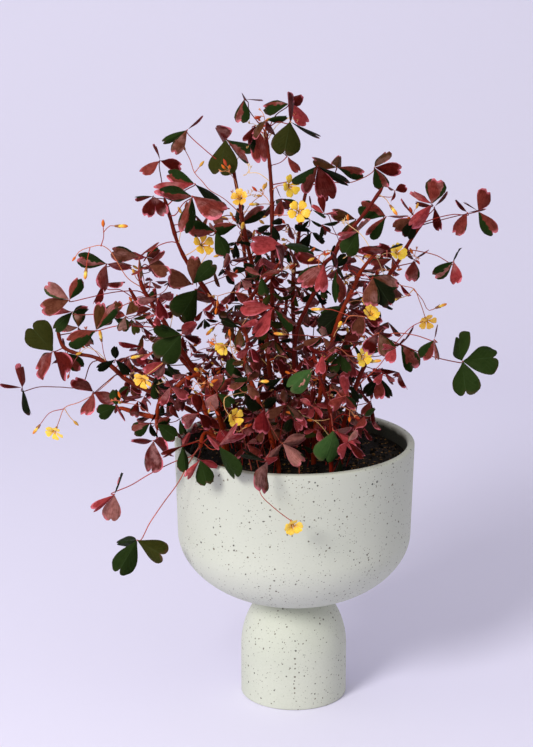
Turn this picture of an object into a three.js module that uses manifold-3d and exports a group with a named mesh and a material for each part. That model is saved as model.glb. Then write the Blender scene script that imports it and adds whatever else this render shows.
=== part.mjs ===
import * as THREE from "three";
import { mergeVertices } from "three/addons/utils/BufferGeometryUtils.js";
import Module from "manifold-3d";

// A potted plum crazy oxalis: a footed bowl, its soil, leafy stems and yellow blooms.
// Millimetres, +Z up. The origin is the centre of the foot's underside, and -Y faces the onlooker.

// The planter and its soil.
const RIM_HEIGHT = 202;
const RIM_RADIUS = 90;
const RIM_EDGE = 1.6;
const WALL = 5.4;
const SIDE_RADIUS = 88.2;
const SIDE_TURN_HEIGHT = 131;
const BOWL_BOTTOM_HEIGHT = 79;
const BOWL_FLAT_RADIUS = 14;
const BOWL_ROUNDNESS = 1.9;
const BOWL_STEPS = 6;
const FLOOR_HEIGHT = BOWL_BOTTOM_HEIGHT + 7.4;
const HOLLOW_STEPS = 4;
const NECK_RADIUS = 25;
const FOOT_RADIUS = 40.5;
const FOOT_EDGE = 1.4;
const FOOT_SHOULDER_HEIGHT = 38;
const FOOT_DOME_RISE = 51;
const FOOT_DOME_STEPS = [0, 0.33, 0.62];
const PLANTER_SIDES = 32;
const SOIL_HEIGHT = 190;
const SOIL_RELIEF = 1.6;
const SOIL_SWELL = 8.5;
const SOIL_RINGS = [1, 0.66, 0.33, 0];
const SEAT_GAP = 0.3;
const HOLE_DEPTH = 14;

// Leaves and their stalks. An outline's points are [along, across, sag].
const LEAF_THICKNESS = 0.7;
const SMALL_LEAFLET = { length: 16, width: 0.72 };
const LARGE_LEAFLET = { length: 24, width: 0.96 };
const LARGE_OUTLINE_FROM = 20;
const SMALL_LEAFLET_OUTLINE = [[0.93, -0.47, 0.04], [0.86, 0, 0.03], [0.93, 0.47, 0.04]];
const LARGE_LEAFLET_OUTLINE = [
  [0.68, -0.5, 0.03], [0.99, -0.27, 0.08], [0.87, 0, 0.05], [0.99, 0.27, 0.08], [0.68, 0.5, 0.03],
];
const FLAT_FOLD = 0.28;
const STEEP_FOLD = 1.1;
const LEAF_KNOB = { radius: 1.25, halfHeight: 0.65 };
const LEAF_STALK_RADIUS = 0.62;
const SHORT_LEAF_STALK = 20;
const NECK = { length: 5, share: 0.3 };
const ARCH = { at: 0.55, rise: 0.1 };
const SPREAD_ROUNDS = 8;
const LEAST_BLADE_TURN = 0.9;
const FREE_TURN = 1.15;
const LEAST_SQUEEZE = 0.45;
const AXIS_LOOKS_UP = 0.6;
const WIDE_ENOUGH = -0.6;
const DROOP_FAVOUR = 0.02;
const EVEN = 1e-9;
const HIDDEN_LEAFLET = { back: 0.5, size: 0.85 };
const LONE_TIP = { back: 0.5, aside: 0.85 };
const SPRING = { above: 1.2, drop: 4, near: 3, least: 9, clear: 6 };

// Stems, flower stalks and blooms. A spindle has its radii at each reach from its base.
const STEM_SIDES = 5;
const STEM_TIP_RADIUS = 1.2;
const BRANCH_START = 0.75;
const STALK_SIDES = 3;
const FLOWER_STALK_RADIUS = 0.52;
const CUP_RADIUS = 1.1;
const CUP_CLEARANCE = 0.8;
const LEAST_FORWARD = 0.3;
const PETAL_COUNT = 5;
const PETAL_LENGTH = 7;
const PETAL_WIDTH = 5.6;
const PETAL_THICKNESS = 0.6;
const PETAL_RISE = 0.25;
const PETAL_OUTLINE = [[1, -0.42, 0.04], [1, 0.42, 0.04]];
const THROAT_KNOB = { radius: 1.6, halfHeight: 0.5 };
const TRUMPET_LENGTH = 5;
const TRUMPET_TAPER = 0.5;
const SHUT_BLOOM = { reach: [0, 5.5, 9], radii: [0.7, 1.7, 0.5], sides: 4 };
const BUD = { reach: [-0.6, 1.6, 4.2], radii: [0.4, 1.1, 0.3], sides: 4 };

// How leaves are kept clear of what is placed before them.
const CELL = 5;
const WIDE_ROOM = 12;
const BALL_SPACING = 2;
const STEM_BALL_MARGIN = 0.3;
const STALK_BALL_RADIUS = 1.1;
const FLOWER_STALK_BALL_RADIUS = 0.9;
const BLOOM_BALL_RADIUS = 3;
const BALLS_AT_SPRING = 3;
const LEAFLET_BALL_RADIUS = 2.1;
const LEAFLET_SAG = 0.05;
const LEAFLET_BALLS = [
  [0.22, 0], [0.42, -0.14], [0.42, 0.14], [0.6, -0.38], [0.6, 0], [0.6, 0.38],
  [0.78, -0.2], [0.78, 0.2], [0.84, -0.46], [0.84, 0.46], [0.98, -0.25], [0.98, 0.25],
];
const DEPTH_TRIES = [0, -5, 5, -10, 10, -15, 15, -20, 20, -26, 26, -32, 32, -40, 40];

// The small leaves that grow by rule.
const FIRST_DRAW = 20240;
const DRAW_FACTOR = 1664525;
const DRAW_STEP = 1013904223;
const GOLDEN_TURN = 2.399963;
const CROWD = {
  low: 0.32, high: 0.98, leastReach: 20, mostReach: 34, leastLift: 0.1, mostLift: 0.7, leastLength: 14,
  mostLength: 19, tries: 10, retryTurn: 0.63, sideways: 0.75, lookOut: 0.7, droop: 0.3, facing: 0.8,
};

// Finishes.
const PLANTER_COLOUR = 0xd5dacd;
const PLANTER_ROUGHNESS = 0.7;
const SOIL_COLOUR = 0x1d1510;
const SOIL_ROUGHNESS = 1;
const LEAF_ROUGHNESS = 0.6;
const BLOOM_COLOUR = 0xf2c81e;
const PETAL_ROUGHNESS = 0.5;
const SLIVER = 0.08;

// The plant's places are given as an onlooker sees them: x and height on the upright plane through the
// planter's axis, then the depth behind that plane, reached along the onlooker's line of sight.
const EYE = new THREE.Vector3(-21, -1325, 595);
const LEAN_SPAN = 200;

// The leafy stems. Each stands at root = [x, y] in the soil and follows path, rows of [x, height, depth].
// side: branches, whose first point lies on the stem.
// stalks: flower stalks, each a path with what it ends in; face turns an open bloom.
// leaves: rows of [x, height, depth, length, facing, leaflet tips, leaf stalk's way, depths of the way].
//   facing is 1 for a leaf turned to the onlooker and 0 for one that faces the sky. Tips and way are pairs
//   as seen, and a way without depths runs evenly from its stem to its leaf.
// crowd: how many more small leaves grow by rule along the stem.
const STEMS = {
  tall: {
    root: [-2, -4], lean: -5, radius: 2.2, colour: 0x6e2a20, crowd: 1,
    path: [[-3, 215, -4], [-6, 240, -7], [-9, 262, -9], [-13, 277, -11], [-16, 292, -12], [-17, 313, -11],
      [-16, 335, -8], [-17, 357, -4], [-17, 380, 0], [-18, 400, 2], [-20, 420, 4], [-22, 433, 4]],
    stalks: [
      { path: [[-18, 389, 0], [-12, 394, -6], [-7, 394, -10]], bloom: "open", face: [1, -0.5, -0.1] },
      { path: [[-13, 372, 0], [-4, 372, -8], [1, 374, -14]], bloom: "open", face: [0.2, -1, 0.3] },
      { path: [[-17, 380, 0], [-23, 380, -8], [-27, 380, -12]], bloom: "shut" },
    ],
    leaves: [
      [-37, 456, 6, 17, 0.8, [-40, 440, -39, 461, -27, 456], [-28, 441, -34, 450]],
      [-5, 453, 0, 18, 0.9, [-23, 451, 5, 459, 9, 440], [-20, 430, -14, 444]],
      [-21, 441, -8, 17, 0.7, [-32, 431, -6, 444, -15, 431]],
      [-4, 440, -16, 23, 1, [-8, 417, 15, 430, -1, 456]],
      [-29, 437, 12, 18, 0.7, [-34, 427, -29, 418, -24, 411]],
      [-6, 415, 14, 14, 0.7, [3, 405, -12, 420]],
      [16, 408, -6, 24, 0.8, [4, 395, 25, 384, 38, 395], [-4, 398, 6, 404]],
      [-10, 384, 12, 13, 0.6, [2, 380, -14, 372]],
    ],
  },
  left_of_tall: {
    root: [-14, 10], lean: 32, radius: 2, colour: 0x7a2f22, crowd: 1,
    path: [[-16, 225, 12], [-19, 258, 10], [-22, 290, 6], [-25, 310, 4], [-30, 330, 2], [-35, 350, 0],
      [-40, 378, -2], [-44, 400, -2], [-47, 415, 0]],
    stalks: [
      { path: [[-38, 372, -2], [-39, 379, -8], [-39, 383, -12]], bloom: "open", face: [-0.3, -1, 0.5] },
      { path: [[-36, 350, 0], [-40, 356, -8], [-39, 361, -13]], bloom: "shut" },
      { path: [[-33, 341, 2], [-28, 347, -4], [-27, 344, -7]], bloom: "shut" },
      { path: [[-39, 372, -2], [-52, 384, 2], [-63, 391, 3], [-67, 396, 3], [-73, 403, 3], [-76, 412, 3],
        [-80, 420, 3]], bloom: "shut" },
      { path: [[-73, 403, 3], [-69, 408, 3]], bloom: "bud" },
    ],
    leaves: [
      [-50, 427, -5, 26, 1, [-56, 402, -36, 416, -60, 438]],
      [-78, 434, 2, 19, 0.6, [-96, 425, -88, 417], [-52, 409, -63, 418]],
      [-42, 365, -10, 18, 0.7, [-60, 362, -43, 379, -22, 377]],
      [-38, 362, 6, 14, 0.8, [-40, 351, -28, 356]],
    ],
  },
  upper_left: {
    root: [-20, 16], lean: -38, radius: 2.1, colour: 0x74291f, crowd: 0,
    path: [[-28, 228, 14], [-38, 262, 12], [-48, 286, 10], [-56, 301, 8], [-68, 320, 6], [-78, 335, 4],
      [-86, 352, 4], [-91, 370, 4], [-95, 384, 4]],
    side: [[[-48, 286, 10], [-40, 300, 6], [-33, 310, 2], [-27, 318, -8], [-19, 326, -15],
      [-12, 336, -17]]],
    stalks: [
      { path: [[-82, 342, 4], [-75, 345, -2], [-70, 349, -6]], bloom: "open", face: [0.6, -1, 0.5] },
      { path: [[-46, 282, 10], [-48, 280, 0], [-50, 276, -6]], bloom: "open", face: [-0.7, -1, -0.4] },
      { path: [[-50, 289, 10], [-56, 292, 2], [-60, 288, -2]], bloom: "shut" },
    ],
    leaves: [
      [-98, 412, 6, 16, 0.5, [-111, 404, -83, 408], [-97, 395]],
      [-103, 386, -4, 14, 0.7, [-115, 385, -108, 372, -95, 373]],
      [-73, 395, -6, 21, 0.7, [-92, 402, -101, 391, -55, 382], [-90, 382, -80, 390]],
      [-75, 386, -16, 25, 0.8, [-98, 389, -53, 377, -81, 361], [-87, 372, -80, 381]],
      [-58, 360, -8, 17, 0.8, [-77, 363, -50, 344, -63, 368]],
      [-109, 341, 6, 16, 0.6, [-99, 348, -95, 332, -120, 345], [-87, 352, -100, 350]],
      [-75, 321, -10, 20, 0.8, [-73, 341, -92, 328, -60, 336]],
      [-72, 317, 8, 26, 1, [-83, 296, -60, 307]],
      [-8, 350, -12, 23, 0.9, [-31, 353, 12, 347, -10, 336]],
      [-25, 327, -18, 15, 0.7, [-22, 314, -14, 332]],
      [-16, 303, -24, 23, 0.9, [-38, 305, -31, 285, -2, 291]],
      [-52, 332, 12, 14, 0.7, [-57, 326, -46, 326, -50, 344]],
      [-44, 320, 14, 14, 0.6, [-48, 309, -34, 324]],
    ],
  },
  left: {
    root: [-32, -4], lean: -50, radius: 2.1, colour: 0x7c2c20, crowd: 2,
    path: [[-46, 222, -6], [-62, 241, -8], [-77, 260, -10], [-89, 279, -10], [-98, 295, -8],
      [-107, 309, -6],
      [-112, 318, -6], [-115, 330, -4]],
    stalks: [
      { path: [[-111, 318, -6], [-123, 325, -10], [-131, 337, -12], [-136, 345, -12], [-142, 349, -12],
        [-150, 348, -12], [-158, 345, -12], [-161, 341, -12]], bloom: "bud" },
      { path: [[-142, 349, -12], [-140, 356, -12], [-140, 364, -12]], bloom: "bud" },
      { path: [[-139, 359, -12], [-135, 364, -12], [-131, 364, -12]], bloom: "shut" },
      { path: [[-150, 348, -12], [-152, 340, -13], [-153, 333, -13]], bloom: "shut" },
      { path: [[-113, 321, -6], [-117, 326, -10], [-118, 329, -12]], bloom: "bud" },
      { path: [[-86, 272, -10], [-100, 270, -16], [-113, 267, -20]], bloom: "shut" },
      { path: [[-84, 270, -10], [-97, 262, -22], [-110, 252, -28]], bloom: "open", face: [-0.5, -1, -0.6] },
    ],
    leaves: [
      [-138, 336, -8, 20, 0.8, [-158, 341, -140, 318, -120, 334]],
      [-114, 341, 8, 19, 0.7, [-133, 346, -104, 352, -112, 328]],
      [-107, 335, -12, 15, 0.8, [-98, 345, -95, 331, -118, 330]],
      [-166, 309, -8, 18, 0.8, [-181, 321, -159, 325, -186, 303],
        [-113, 315, -125, 316, -140, 314, -152, 311]],
      [-164, 300, 8, 16, 0.7, [-180, 303, -178, 288, -152, 303], [-115, 308, -140, 300]],
      [-106, 303, 4, 12, 0.6, [-104, 315, -116, 299]],
      [-125, 297, -12, 12, 0.6, [-118, 306, -128, 287, -134, 300]],
      [-113, 289, 2, 12, 0.6, [-108, 283, -120, 292]],
      [-84, 283, -20, 20, 0.9, [-103, 289, -72, 292, -99, 264]],
      [-96, 262, -24, 14, 0.6, [-112, 256, -103, 250, -90, 254]],
      [-134, 296, 2, 13, 0.7, [-131, 308, -142, 290, -126, 290]],
      [-147, 286, -6, 19, 0.8, [-143, 306, -133, 304, -167, 278], [-118, 290, -132, 290]],
    ],
  },
  far_left: {
    root: [-42, 14], lean: 45, radius: 2.1, colour: 0x7a3322, crowd: 1,
    path: [[-62, 214, 10], [-82, 227, 4], [-97, 234, 0], [-112, 241, -2], [-126, 249, -2], [-138, 260, -2],
      [-150, 266, -2], [-160, 268, -2], [-171, 273, -2], [-176, 288, -2]],
    stalks: [
      { path: [[-132, 254, -2], [-142, 243, -10], [-150, 236, -14], [-161, 230, -16], [-172, 226, -16],
        [-176, 217, -16], [-178, 212, -16]], bloom: "open", face: [-0.4, -1, -0.7] },
      { path: [[-172, 226, -16], [-184, 222, -16], [-191, 213, -16]], bloom: "shut" },
      { path: [[-172, 226, -16], [-168, 219, -16], [-165, 216, -16]], bloom: "bud" },
      { path: [[-160, 268, -2], [-166, 258, 6], [-168, 252, 8]], bloom: "bud" },
      { path: [[-140, 262, -2], [-142, 272, -8], [-143, 278, -10]], bloom: "shut" },
    ],
    leaves: [
      [-179, 270, -8, 25, 0.9, [-196, 289, -194, 255, -170, 252]],
      [-170, 269, 6, 16, 0.6, [-158, 257, -180, 262]],
      [-203, 242, 8, 20, 0.4, [-202, 260, -197, 221], [-150, 262, -160, 243, -175, 243, -190, 243]],
      [-150, 239, -14, 19, 0.8, [-164, 250, -158, 222, -134, 231], [-132, 252, -140, 246]],
      [-160, 288, 4, 17, 0.7, [-150, 276, -176, 290, -158, 304]],
      [-122, 246, 8, 13, 0.6, [-131, 236, -116, 236]],
    ],
  },
  arching: {
    root: [-50, -12], lean: -62, radius: 2.3, colour: 0x9a4526, crowd: 1,
    path: [[-58, 225, -16], [-64, 243, -18], [-73, 252, -20], [-82, 248, -22], [-90, 241, -22],
      [-97, 236, -22],
      [-101, 231, -22], [-103, 221, -22], [-103, 210, -22]],
    side: [[[-103, 219, -22], [-112, 221, -18], [-122, 224, -14], [-131, 227, -12]]],
    stalks: [
      { path: [[-70, 251, -20], [-69, 254, -26], [-71, 255, -30]], bloom: "shut" },
      { path: [[-66, 246, -19], [-70, 239, -27], [-76, 236, -30]], bloom: "bud" },
    ],
    leaves: [
      [-108, 215, -26, 13, 0.8, [-120, 208, -104, 205]],
      [-103, 214, -32, 15, 0.8, [-90, 204, -93, 219]],
      [-106, 201, -26, 21, 0.9, [-124, 201, -110, 178, -96, 192]],
      [-133, 228, -8, 15, 0.7, [-146, 222, -134, 241, -127, 216]],
      [-86, 218, -30, 13, 0.7, [-92, 228, -78, 222, -83, 207]],
    ],
  },
  mid_right: {
    root: [6, 14], lean: 45, radius: 1.9, colour: 0x6a241c, crowd: 2,
    path: [[3, 240, 16], [-1, 290, 18], [-1, 330, 14], [3, 360, 11], [5, 374, 9], [9, 392, 8],
      [14, 399, 8]],
    leaves: [
      [30, 407, 8, 20, 0.8, [12, 413, 33, 418, 50, 402], [18, 399, 26, 398]],
      [57, 407, 5, 18, 0.8, [66, 419, 77, 405, 65, 392], [18, 396, 40, 397]],
      [10, 350, 14, 16, 0.7, [2, 338, 20, 345, 8, 364]],
      [12, 376, 16, 13, 0.6, [3, 370, 22, 372]],
    ],
  },
  right_of_mid: {
    root: [10, -6], lean: -42, radius: 2, colour: 0x74261e, crowd: 1,
    path: [[4, 228, -6], [0, 252, -6], [0, 276, -5], [3, 291, -4], [8, 302, -4], [13, 312, -4],
      [18, 325, -6],
      [22, 337, -6], [28, 342, -6], [33, 353, -4], [41, 362, -2], [50, 373, 0], [57, 383, 2], [63, 392, 4]],
    stalks: [
      { path: [[60, 387, 3], [66, 383, -3], [69, 379, -6]], bloom: "shut" },
    ],
    leaves: [
      [21, 336, -20, 21, 0.9, [2, 345, 4, 322, 18, 317]],
      [28, 333, -8, 15, 0.6, [30, 349, 38, 342]],
      [30, 331, -14, 23, 0.9, [31, 308, 38, 321]],
      [46, 360, -10, 17, 0.8, [37, 344, 34, 357, 49, 369], [36, 354]],
      [44, 369, 2, 17, 0.8, [27, 375, 37, 357]],
      [66, 371, -4, 19, 0.8, [54, 358, 48, 380], [58, 378]],
      [21, 373, 10, 12, 0.5, [18, 386, 12, 379, 28, 374], [32, 353, 28, 363]],
      [72, 390, 8, 10, 0.5, [80, 393, 70, 383]],
    ],
  },
  right: {
    root: [20, 4], lean: 22, radius: 2.1, colour: 0x84301f, crowd: 2,
    path: [[25, 225, 6], [33, 262, 8], [42, 285, 9], [52, 304, 9], [64, 321, 8], [75, 337, 6], [81, 348, 5],
      [87, 358, 4], [92, 366, 3], [97, 374, 3]],
    stalks: [
      { path: [[80, 346, 5], [76, 344, -4], [73, 343, -9]], bloom: "open", face: [0.5, -1, 0.6] },
      { path: [[64, 322, 8], [72, 321, 0], [80, 319, -4], [87, 317, -6], [91, 309, -8], [94, 302, -9],
        [96, 296, -10]], bloom: "open", face: [0.5, -0.7, -0.9] },
      { path: [[87, 317, -6], [94, 309, -4], [99, 301, -3], [104, 303, -3]], bloom: "shut" },
      { path: [[87, 317, -6], [82, 312, -12], [76, 310, -16]], bloom: "shut" },
    ],
    leaves: [
      [87, 370, -6, 17, 0.8, [72, 362, 82, 356, 78, 384]],
      [99, 380, -8, 18, 0.8, [86, 391, 103, 398, 84, 364]],
      [101, 378, 6, 17, 0.5, [110, 391, 106, 361]],
      [125, 374, 6, 16, 0.7, [116, 384, 115, 359], [105, 371, 115, 373]],
      [133, 375, 0, 18, 0.9, [141, 390, 145, 358, 126, 380], [103, 368, 118, 372]],
      [116, 338, -4, 17, 0.8, [102, 327, 117, 322, 118, 346], [83, 346, 92, 345, 104, 342]],
      [87, 339, 0, 15, 0.9, [86, 323, 79, 346]],
      [71, 340, -10, 18, 0.9, [57, 334, 60, 351, 73, 326]],
    ],
  },
  right_low: {
    root: [14, -22], lean: -70, radius: 2, colour: 0x8c3a22, crowd: 0,
    path: [[18, 230, -22], [24, 262, -22], [30, 287, -20], [36, 304, -18], [43, 318, -15], [47, 328, -13],
      [53, 337, -12], [60, 345, -10]],
    stalks: [
      { path: [[41, 313, -16], [46, 315, -22], [52, 313, -27]], bloom: "open", face: [0.5, -1, -0.1] },
      { path: [[31, 288, -20], [36, 291, -26], [40, 297, -30], [46, 297, -31], [53, 296, -31]], bloom: "open",
        face: [0.4, -0.8, 0.9] },
      { path: [[39, 297, -30], [33, 300, -30], [26, 302, -30], [21, 302, -30]], bloom: "shut" },
      { path: [[28, 280, -20], [30, 284, -26], [32, 288, -30]], bloom: "shut" },
      { path: [[27, 275, -21], [34, 272, -28], [40, 267, -33], [47, 266, -36]], bloom: "open",
        face: [0.7, -1, 0.2] },
      { path: [[36, 270, -30], [46, 261, -32], [55, 262, -33]], bloom: "shut" },
      { path: [[29, 284, -20], [20, 281, -24], [5, 282, -27], [-7, 283, -28]], bloom: "shut" },
    ],
    leaves: [
      [67, 346, -14, 19, 0.5, [49, 347, 74, 338]],
      [57, 326, -18, 20, 0.9, [56, 307, 69, 307, 75, 323]],
      [38, 303, -22, 20, 0.9, [20, 303, 20, 287, 50, 300]],
      [50, 300, -12, 16, 0.8, [44, 284, 62, 292, 53, 312]],
      [36, 278, -12, 14, 0.8, [40, 268, 46, 284, 26, 284]],
      [8, 276, -14, 14, 0.6, [20, 280, -2, 272, 8, 262]],
      [33, 268, -30, 16, 0.8, [29, 256, 39, 256, 24, 264]],
    ],
  },
  low_right: {
    root: [34, -26], lean: -55, radius: 1.9, colour: 0x6d241d, crowd: 1,
    path: [[38, 219, -27], [45, 242, -28], [53, 262, -26], [61, 281, -24]],
    stalks: [
      { path: [[42, 232, -28], [50, 247, -44], [62, 259, -54], [75, 277, -50], [88, 290, -42],
        [95, 293, -36]], bloom: "bud" },
    ],
    leaves: [
      [124.5, 262.5, -20, 24, 1, [119, 282, 149, 266, 127, 238], [72, 277, 90, 271, 108, 265]],
      [79, 275, -24, 20, 0.9, [87, 257], [68, 279]],
      [103, 279, -16, 16, 0.8, [95, 265, 105, 266], [70, 283, 90, 282]],
      [62, 284, -34, 17, 0.8, [70, 269, 54, 270, 72, 283]],
      [75, 273, -36, 11, 0.7, [70, 263, 68, 273]],
      [63, 250, -22, 16, 0.8, [53, 237, 63, 235, 72, 236], [50, 250]],
      [40, 244, -36, 15, 0.7, [33, 232, 49, 234, 30, 250]],
      [57, 232, -34, 12, 0.7, [52, 222, 60, 214]],
    ],
  },
  front: {
    root: [-12, -46], lean: -30, radius: 1.8, colour: 0x8f3d28, crowd: 0,
    path: [[-18, 205, -48], [-24, 225, -50], [-30, 240, -48], [-34, 252, -46], [-37, 264, -42],
      [-35, 278, -38],
      [-39, 290, -34]],
    stalks: [
      { path: [[-33, 250, -46], [-29, 247, -51], [-26, 247, -54]], bloom: "shut" },
      { path: [[-38, 262, -42], [-44, 264, -46], [-47, 272, -48], [-48, 282, -48]], bloom: "bud" },
      { path: [[-31, 240, -48], [-44, 237, -55], [-52, 234, -60], [-52, 226, -63], [-49, 221, -65]],
        bloom: "open", face: [0.8, -1, 0] },
      { path: [[-14, 200, -48], [-19, 193, -74], [-24, 178, -98], [-27, 160, -103], [-16, 148, -103],
        [-7, 141, -102], [-3, 138, -101]], bloom: "open", face: [0.4, -0.6, -0.9] },
    ],
    leaves: [
      [-28, 251, -54, 20, 0.9, [-27, 270, -40, 246, -16, 246]],
      [-9, 199, -70, 20, 0.8, [8, 204, -22, 184, 5, 186], [-25, 229, -17, 211]],
      [-21, 185, -84, 22, 0.9, [-24, 163, -12, 188, -34, 190], [-24, 196]],
      [-9, 250, -44, 17, 0.8, [-19, 243, 0, 240, -8, 262]],
      [-41, 288, -42, 13, 0.8, [-42, 274, -53, 294, -29, 294]],
      [-23, 226, -60, 18, 0.8, [-24, 208, -36, 234, -12, 234]],
      [-38, 250, -30, 17, 0.8, [-43, 236, -52, 256, -28, 262]],
      [-2, 219, -58, 14, 0.7, [8, 213, -8, 208, -2, 232]],
    ],
  },
  front_right: {
    root: [26, -50], lean: -25, radius: 1.7, colour: 0x7c2a24, crowd: 1,
    path: [[27, 200, -51], [27, 222, -52], [22, 240, -50], [17, 256, -48], [14, 268, -46]],
    stalks: [
      { path: [[27, 219, -52], [20, 217, -60], [13, 217, -64]], bloom: "bud" },
    ],
    leaves: [
      [29.5, 209, -60, 22, 1, [25, 186, 45, 200, 44, 213], [27, 222]],
      [14, 257, -56, 20, 0.9, [-3, 243, 22, 268], [20, 250]],
      [21, 268, -54, 15, 0.8, [18, 256, 28, 276, 10, 274]],
      [38, 236, -52, 15, 0.8, [30, 228, 46, 226, 38, 250]],
      [40, 200, -64, 14, 0.7, [36, 190, 52, 190, 46, 210], [30, 212]],
      [13, 228, -58, 12, 0.7, [4, 232, 20, 220, 14, 240]],
      [52, 220, -44, 13, 0.7, [48, 212, 60, 226], [36, 222]],
    ],
  },
  front_left: {
    root: [-50, -38], lean: 0, radius: 2, colour: 0x9a4228, crowd: 0,
    path: [[-58, 203, -42], [-67, 207, -46], [-71, 195, -56]],
    side: [[[-62, 206, -43], [-66, 222, -44], [-70, 236, -44]]],
    stalks: [
      { path: [[-70, 203, -50], [-80, 199, -52], [-88, 195, -54]], bloom: "shut" },
      { path: [[-69, 200, -53], [-61, 194, -62], [-57, 195, -66]], bloom: "bud" },
    ],
    leaves: [
      [-71, 186, -72, 17, 0.9, [-66, 168, -80, 174, -58, 180], [-71, 193]],
      [-57, 197, -64, 25, 0.8, [-45, 174, -66, 206, -46, 206], [-62, 204]],
      [-84, 197, -60, 17, 0.8, [-82, 178, -96, 190, -78, 208], [-74, 200]],
      [-56, 210, -58, 13, 0.8, [-57, 197, -44, 203, -64, 218]],
      [-72, 222, -56, 15, 0.8, [-62, 213, -82, 214, -72, 236]],
      [-58, 238, -56, 15, 0.8, [-64, 226, -48, 230, -58, 252]],
      [-136, 158.5, -30, 20, 0.9, [-139, 138, -150, 147], [-76, 190, -90, 185, -110, 175, -124, 166],
        [-54, -50, -42, -34]],
      [-119.5, 122, -52, 24, 1, [-134, 97, -101, 110, -137, 119],
        [-75, 191, -79, 184, -88, 167, -100, 150, -110, 135],
        [-56, -58, -58, -56, -54]],
      [-47, 250, -50, 15, 0.8, [-56, 240, -38, 246, -50, 264], [-66, 232, -58, 244]],
    ],
  },
  back: {
    root: [-16, 34], lean: 40, radius: 2, colour: 0x74291f, crowd: 5,
    path: [[-20, 240, 44], [-26, 280, 52], [-34, 320, 56], [-38, 352, 54], [-40, 384, 48]],
    leaves: [],
  },
  back_left: {
    root: [-40, 40], lean: 45, radius: 2, colour: 0x7c2c20, crowd: 5,
    path: [[-56, 228, 52], [-76, 254, 62], [-96, 280, 66], [-112, 300, 64], [-122, 318, 58]],
    leaves: [],
  },
  back_right: {
    root: [14, 36], lean: 40, radius: 2, colour: 0x84301f, crowd: 5,
    path: [[24, 232, 46], [36, 266, 54], [48, 296, 58], [58, 322, 56], [64, 344, 50]],
    leaves: [],
  },
  far_back: {
    root: [0, 60], lean: 25, radius: 1.9, colour: 0x6a241c, crowd: 4,
    path: [[-2, 222, 72], [-6, 250, 84], [-8, 282, 92], [-6, 312, 94]],
    leaves: [],
  },
  low_back_left: {
    root: [-52, 22], lean: 60, radius: 1.9, colour: 0x7a3322, crowd: 4,
    path: [[-66, 222, 32], [-90, 240, 44], [-112, 252, 52], [-128, 264, 54]],
    leaves: [],
  },
};

const UP = new THREE.Vector3(0, 0, 1);
const FULL_TURN = 2 * Math.PI;
const ALMOST_UPRIGHT = 0.9;

// A point that the onlooker sees at x and height on the plane through the axis, moved along the sight line.
function seen(x, height, depth) {
  const point = new THREE.Vector3(x, 0, height);
  return point.add(point.clone().sub(EYE).multiplyScalar(-depth / EYE.y));
}

// The same on a stem, which leans back by its lean for each LEAN_SPAN that the point is away from its root.
function onStem(stem, x, height, depth) {
  const out = Math.hypot(x - stem.root[0], height - SOIL_HEIGHT);
  return seen(x, height, depth + (stem.lean * out) / LEAN_SPAN);
}

const wasm = await Module();
wasm.setup();

function solidOf(points, faces) {
  return new wasm.Manifold(new wasm.Mesh({
    numProp: 3,
    vertProperties: Float32Array.from(points.flatMap((point) => point.toArray())),
    triVerts: Uint32Array.from(faces.flat()),
  }));
}

function solidOfGeometry(geometry) {
  const bare = geometry.clone();
  bare.deleteAttribute("normal");
  bare.deleteAttribute("uv");
  const merged = mergeVertices(bare);
  return new wasm.Manifold(new wasm.Mesh({
    numProp: 3,
    vertProperties: merged.attributes.position.array,
    triVerts: new Uint32Array(merged.index.array),
  }));
}

function meshOf(name, solid, colour, roughness) {
  const shape = solid.getMesh();
  const geometry = new THREE.BufferGeometry();
  geometry.setAttribute("position", new THREE.BufferAttribute(shape.vertProperties, 3));
  geometry.setIndex(new THREE.BufferAttribute(shape.triVerts, 1));
  geometry.computeVertexNormals();
  const material = new THREE.MeshStandardMaterial({ color: colour, roughness, metalness: 0 });
  const mesh = new THREE.Mesh(geometry, material);
  mesh.name = name;
  return mesh;
}

// Faces between two rings of as many points.
function addBand(faces, below, above, count) {
  for (let i = 0; i < count; i++) {
    const next = (i + 1) % count;
    faces.push([below + i, below + next, above + next], [below + i, above + next, above + i]);
  }
}

// Faces over a ring, seen from below it.
function addUnderside(faces, start, count) {
  for (let i = 1; i < count - 1; i++) faces.push([start, start + i + 1, start + i]);
}

function addTop(faces, start, count) {
  for (let i = 1; i < count - 1; i++) faces.push([start, start + i, start + i + 1]);
}

// A closed tube through points, whose radius at each point is in radii.
function tube(points, radii, sides) {
  const ring = [];
  const faces = [];
  const first = points[1].clone().sub(points[0]).normalize();
  let side = Math.abs(first.z) > ALMOST_UPRIGHT ? new THREE.Vector3(1, 0, 0) : UP;
  points.forEach((point, i) => {
    const ahead = points[Math.min(i + 1, points.length - 1)];
    const behind = points[Math.max(i - 1, 0)];
    const onward = ahead.clone().sub(behind).normalize();
    side = side.clone().addScaledVector(onward, -side.dot(onward)).normalize();
    const across = onward.clone().cross(side);
    for (let k = 0; k < sides; k++) {
      const angle = (FULL_TURN * k) / sides;
      ring.push(point.clone()
        .addScaledVector(side, radii[i] * Math.cos(angle))
        .addScaledVector(across, radii[i] * Math.sin(angle)));
    }
  });
  const last = (points.length - 1) * sides;
  for (let start = 0; start < last; start += sides) addBand(faces, start, start + sides, sides);
  addUnderside(faces, 0, sides);
  addTop(faces, last, sides);
  return solidOf(ring, faces);
}

// Radii that narrow evenly along points.
function tapered(points, base, tip) {
  return points.map((_, i) => THREE.MathUtils.lerp(base, tip, i / (points.length - 1)));
}

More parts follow.
